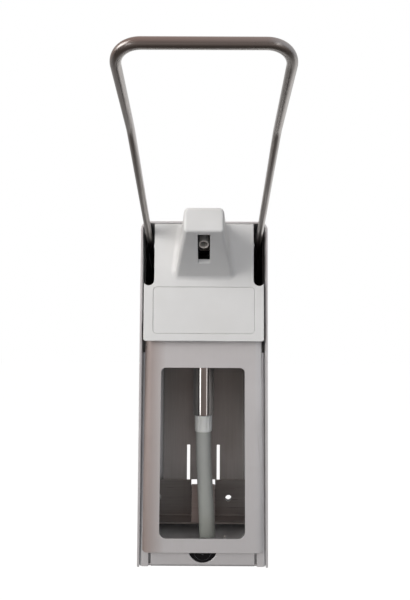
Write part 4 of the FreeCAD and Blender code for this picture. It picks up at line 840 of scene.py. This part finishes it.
def arm_stations():
    """Stations of the left arm from its eye to the bar: centre, across, up, half thickness, straight
    half height, all in millimetres."""
    pivot = Vector((-LEVER_HALF, PIVOT[0], PIVOT[1]))
    kink = pivot + along(REAR_RISE) * ((PIVOT[0] - KINK_Y) / math.cos(REAR_RISE))
    corner = kink + along(FRONT_RISE) * ((KINK_Y - BAR_Y) / math.cos(FRONT_RISE))
    bend = REAR_RISE - FRONT_RISE
    reach = KINK_R * math.tan(bend / 2)
    kink_in = kink - along(REAR_RISE) * reach
    kink_out = kink + along(FRONT_RISE) * reach
    elbow_start = corner - along(FRONT_RISE) * CORNER_R
    flat_rise = (ARM_TALL - ARM_THICK) / 2
    stations = []
    eye_start = math.radians(12)
    eye_end = math.acos(-math.sqrt(EYE_R ** 2 - (ARM_TALL / 2) ** 2) / EYE_R)
    for step in range(EYE_STEPS + 1):
        turn = eye_start + (eye_end - eye_start) * step / EYE_STEPS
        tall = EYE_R * math.sin(turn)
        thick = min(ARM_THICK / 2, tall)
        stations.append((pivot - along(REAR_RISE) * (EYE_R * math.cos(turn)), RIGHTWARDS, above(REAR_RISE),
                         thick, tall - thick))
    eye_edge = stations[-1][0]
    for step in range(1, ARM_STEPS + 1):
        centre = eye_edge.lerp(kink_in, step / ARM_STEPS)
        stations.append((centre, RIGHTWARDS, above(REAR_RISE), ARM_THICK / 2, flat_rise))
    for step in range(1, ARM_STEPS + 1):
        rise = REAR_RISE - bend * step / ARM_STEPS
        centre = kink_in - above(REAR_RISE) * KINK_R + above(rise) * KINK_R
        stations.append((centre, RIGHTWARDS, above(rise), ARM_THICK / 2, flat_rise))
    for step in range(1, SWELL_STEPS + 1):
        part = step / SWELL_STEPS
        thick = ARM_THICK / 2 + (ROD_R - ARM_THICK / 2) * part
        stations.append((kink_out.lerp(elbow_start, part), RIGHTWARDS, above(FRONT_RISE), thick,
                         flat_rise * (1 - part)))
    hub = elbow_start + RIGHTWARDS * CORNER_R
    for step in range(1, CORNER_STEPS + 1):
        turn = math.pi / 2 * step / CORNER_STEPS
        across = RIGHTWARDS * math.cos(turn) - along(FRONT_RISE) * math.sin(turn)
        stations.append((hub - across * CORNER_R, across, above(FRONT_RISE), ROD_R, 0.0))
    bar_end = stations[-1][0]
    for step in range(1, ARM_STEPS + 1):
        part = 1 - (1 - step / ARM_STEPS) ** 2
        stations.append((bar_end.lerp(Vector((0.0, bar_end.y, bar_end.z)), part), -along(FRONT_RISE),
                         above(FRONT_RISE), ROD_R, 0.0))
    return stations


def lever_offsets(thick, rise, sides=64):
    """Section of the rod: two half rounds that stand apart by twice the rise."""
    offsets = []
    for step in range(sides):
        angle = 2 * math.pi * (step + 0.5) / sides
        shift = math.copysign(rise, math.sin(angle))
        offsets.append((thick * math.cos(angle) * MM, (thick * math.sin(angle) + shift) * MM))
    return offsets


def mirrored(vector):
    """The same place or direction on the other side of the middle plane."""
    return Vector((-vector.x, vector.y, vector.z))


left_arm = arm_stations()
right_arm = [(mirrored(centre), mirrored(across), up, thick, rise)
             for centre, across, up, thick, rise in reversed(left_arm[:-1])]
bow = bmesh.new()
bow_rings = [ring(bow, at(*centre), across, up, lever_offsets(thick, rise))
             for centre, across, up, thick, rise in left_arm + right_arm]
bow_lengths = run_lengths([at(*centre) for centre, _, _, _, _ in left_arm + right_arm])
skin(bow, bow_rings, bow_lengths, 2 * math.pi * ROD_R * MM)
bow.faces.new(bow_rings[0])
bow.faces.new(bow_rings[-1])
satin_steel = make_finish("satin_steel", (0.40, 0.38, 0.365), (0.47, 0.45, 0.435),
                          cloud=(240.0, (0.01, 1.0, 1.0)), grain=(500.0, (0.01, 1.0, 1.0)),
                          rough=(0.24, 0.34), relief=(0.03, 0.02 * MM), metal=1.0, follow="UV")
add_marks(satin_steel, amount=0.8, scale=35.0)
lever = finish_mesh(bow, "arm_lever_bow", satin_steel)
drill_shape = bmesh.new()
for side in (-1, 1):
    rim = [ring(drill_shape, at(side * LEVER_HALF + end, *PIVOT), Vector((0, 1, 0)), Vector((0, 0, 1)),
                circle(PIN_HOLE_R * MM, 64)) for end in (-4.0, 4.0)]
    skin(drill_shape, rim, [0.0, 8.0 * MM], 2 * math.pi * PIN_HOLE_R * MM)
    drill_shape.faces.new(rim[0])
    drill_shape.faces.new(rim[1])
drill = finish_mesh(drill_shape, "eye_drill", satin_steel)
holes = lever.modifiers.new("eye_holes", "BOOLEAN")
holes.operation = "DIFFERENCE"
holes.solver = "EXACT"
holes.object = drill
bpy.context.view_layer.update()
drilled = bmesh.new()
lever_now = lever.evaluated_get(bpy.context.evaluated_depsgraph_get())
drilled.from_mesh(bpy.data.meshes.new_from_object(lever_now))
bpy.data.objects.remove(lever)
bpy.data.objects.remove(drill)
finish_mesh(drilled, "arm_lever_bow", satin_steel, "arm_lever", ["lever"])
for node in ("pivot_pins", "drive_lugs"):
    dress(node, plain_steel)


# Front panel, its studs and its catch
# Satin anodised sheet with rolled long edges and a window, its left rolled edge darkened by a painted
# reddish-brown reflection. Two ears hang it from headed studs in the housing's sides. A zinc-plated hook
# behind its foot takes the lock's cam.
panel_aluminium = aluminium.copy()
panel_aluminium.name = "panel_aluminium"
# Painted reflection: the left rolled edge is tinted a darker reddish brown, as if a dim brown surround were
# mirrored there.
paint_light_fade(panel_aluminium, "X", start=-27.0 * MM, end=-41.0 * MM, tint=(0.64, 0.54, 0.50))
broken_edges("front_panel", "panel", panel_aluminium, rubbed_edge, 0.15 * MM)
for node in ("panel_studs", "panel_catch"):
    dress(node, zinc)


# Lock
# Black moulded lock in the base plate's notch, riveted at both ends of its back plate, with a
# triangular key socket in the barrel and a zinc-plated cam held by a screw behind it.
lock_gloss = moulded_plastic("lock_gloss", (0.004, 0.004, 0.005), (0.007, 0.007, 0.008),
                             rough=(0.18, 0.30), pebble=800.0)
lock_gloss.node_tree.nodes["Principled BSDF"].inputs["Specular IOR Level"].default_value = 0.2
broken_edges("lock_body", "housing", lock_gloss, lock_gloss, 0.2 * MM)
# The barrel's sharp edges, the key socket's among them, are a paler grey: partly wear, partly a painted
# highlight.
worn_lock = moulded_plastic("worn_lock", (0.07, 0.07, 0.075), (0.14, 0.14, 0.15), rough=(0.30, 0.45),
                            pebble=800.0)
broken_edges("lock_barrel", "lock", lock_gloss, worn_lock, 0.25 * MM)
fasteners("lock_face_rivets", "lock_rivets", "housing", "zinc_steel", zinc,
          [(at(side * 12.4, -77.6, 15.3), (0.0, -1.0, 0.0)) for side in (-1, 1)],
          head_radius=1.7, head_height=0.6, shank_radius=1.0, grip=3.2, tail_radius=1.5, tail_height=0.7)
for node in ("lock_cam", "lock_screw"):
    dress(node, zinc)
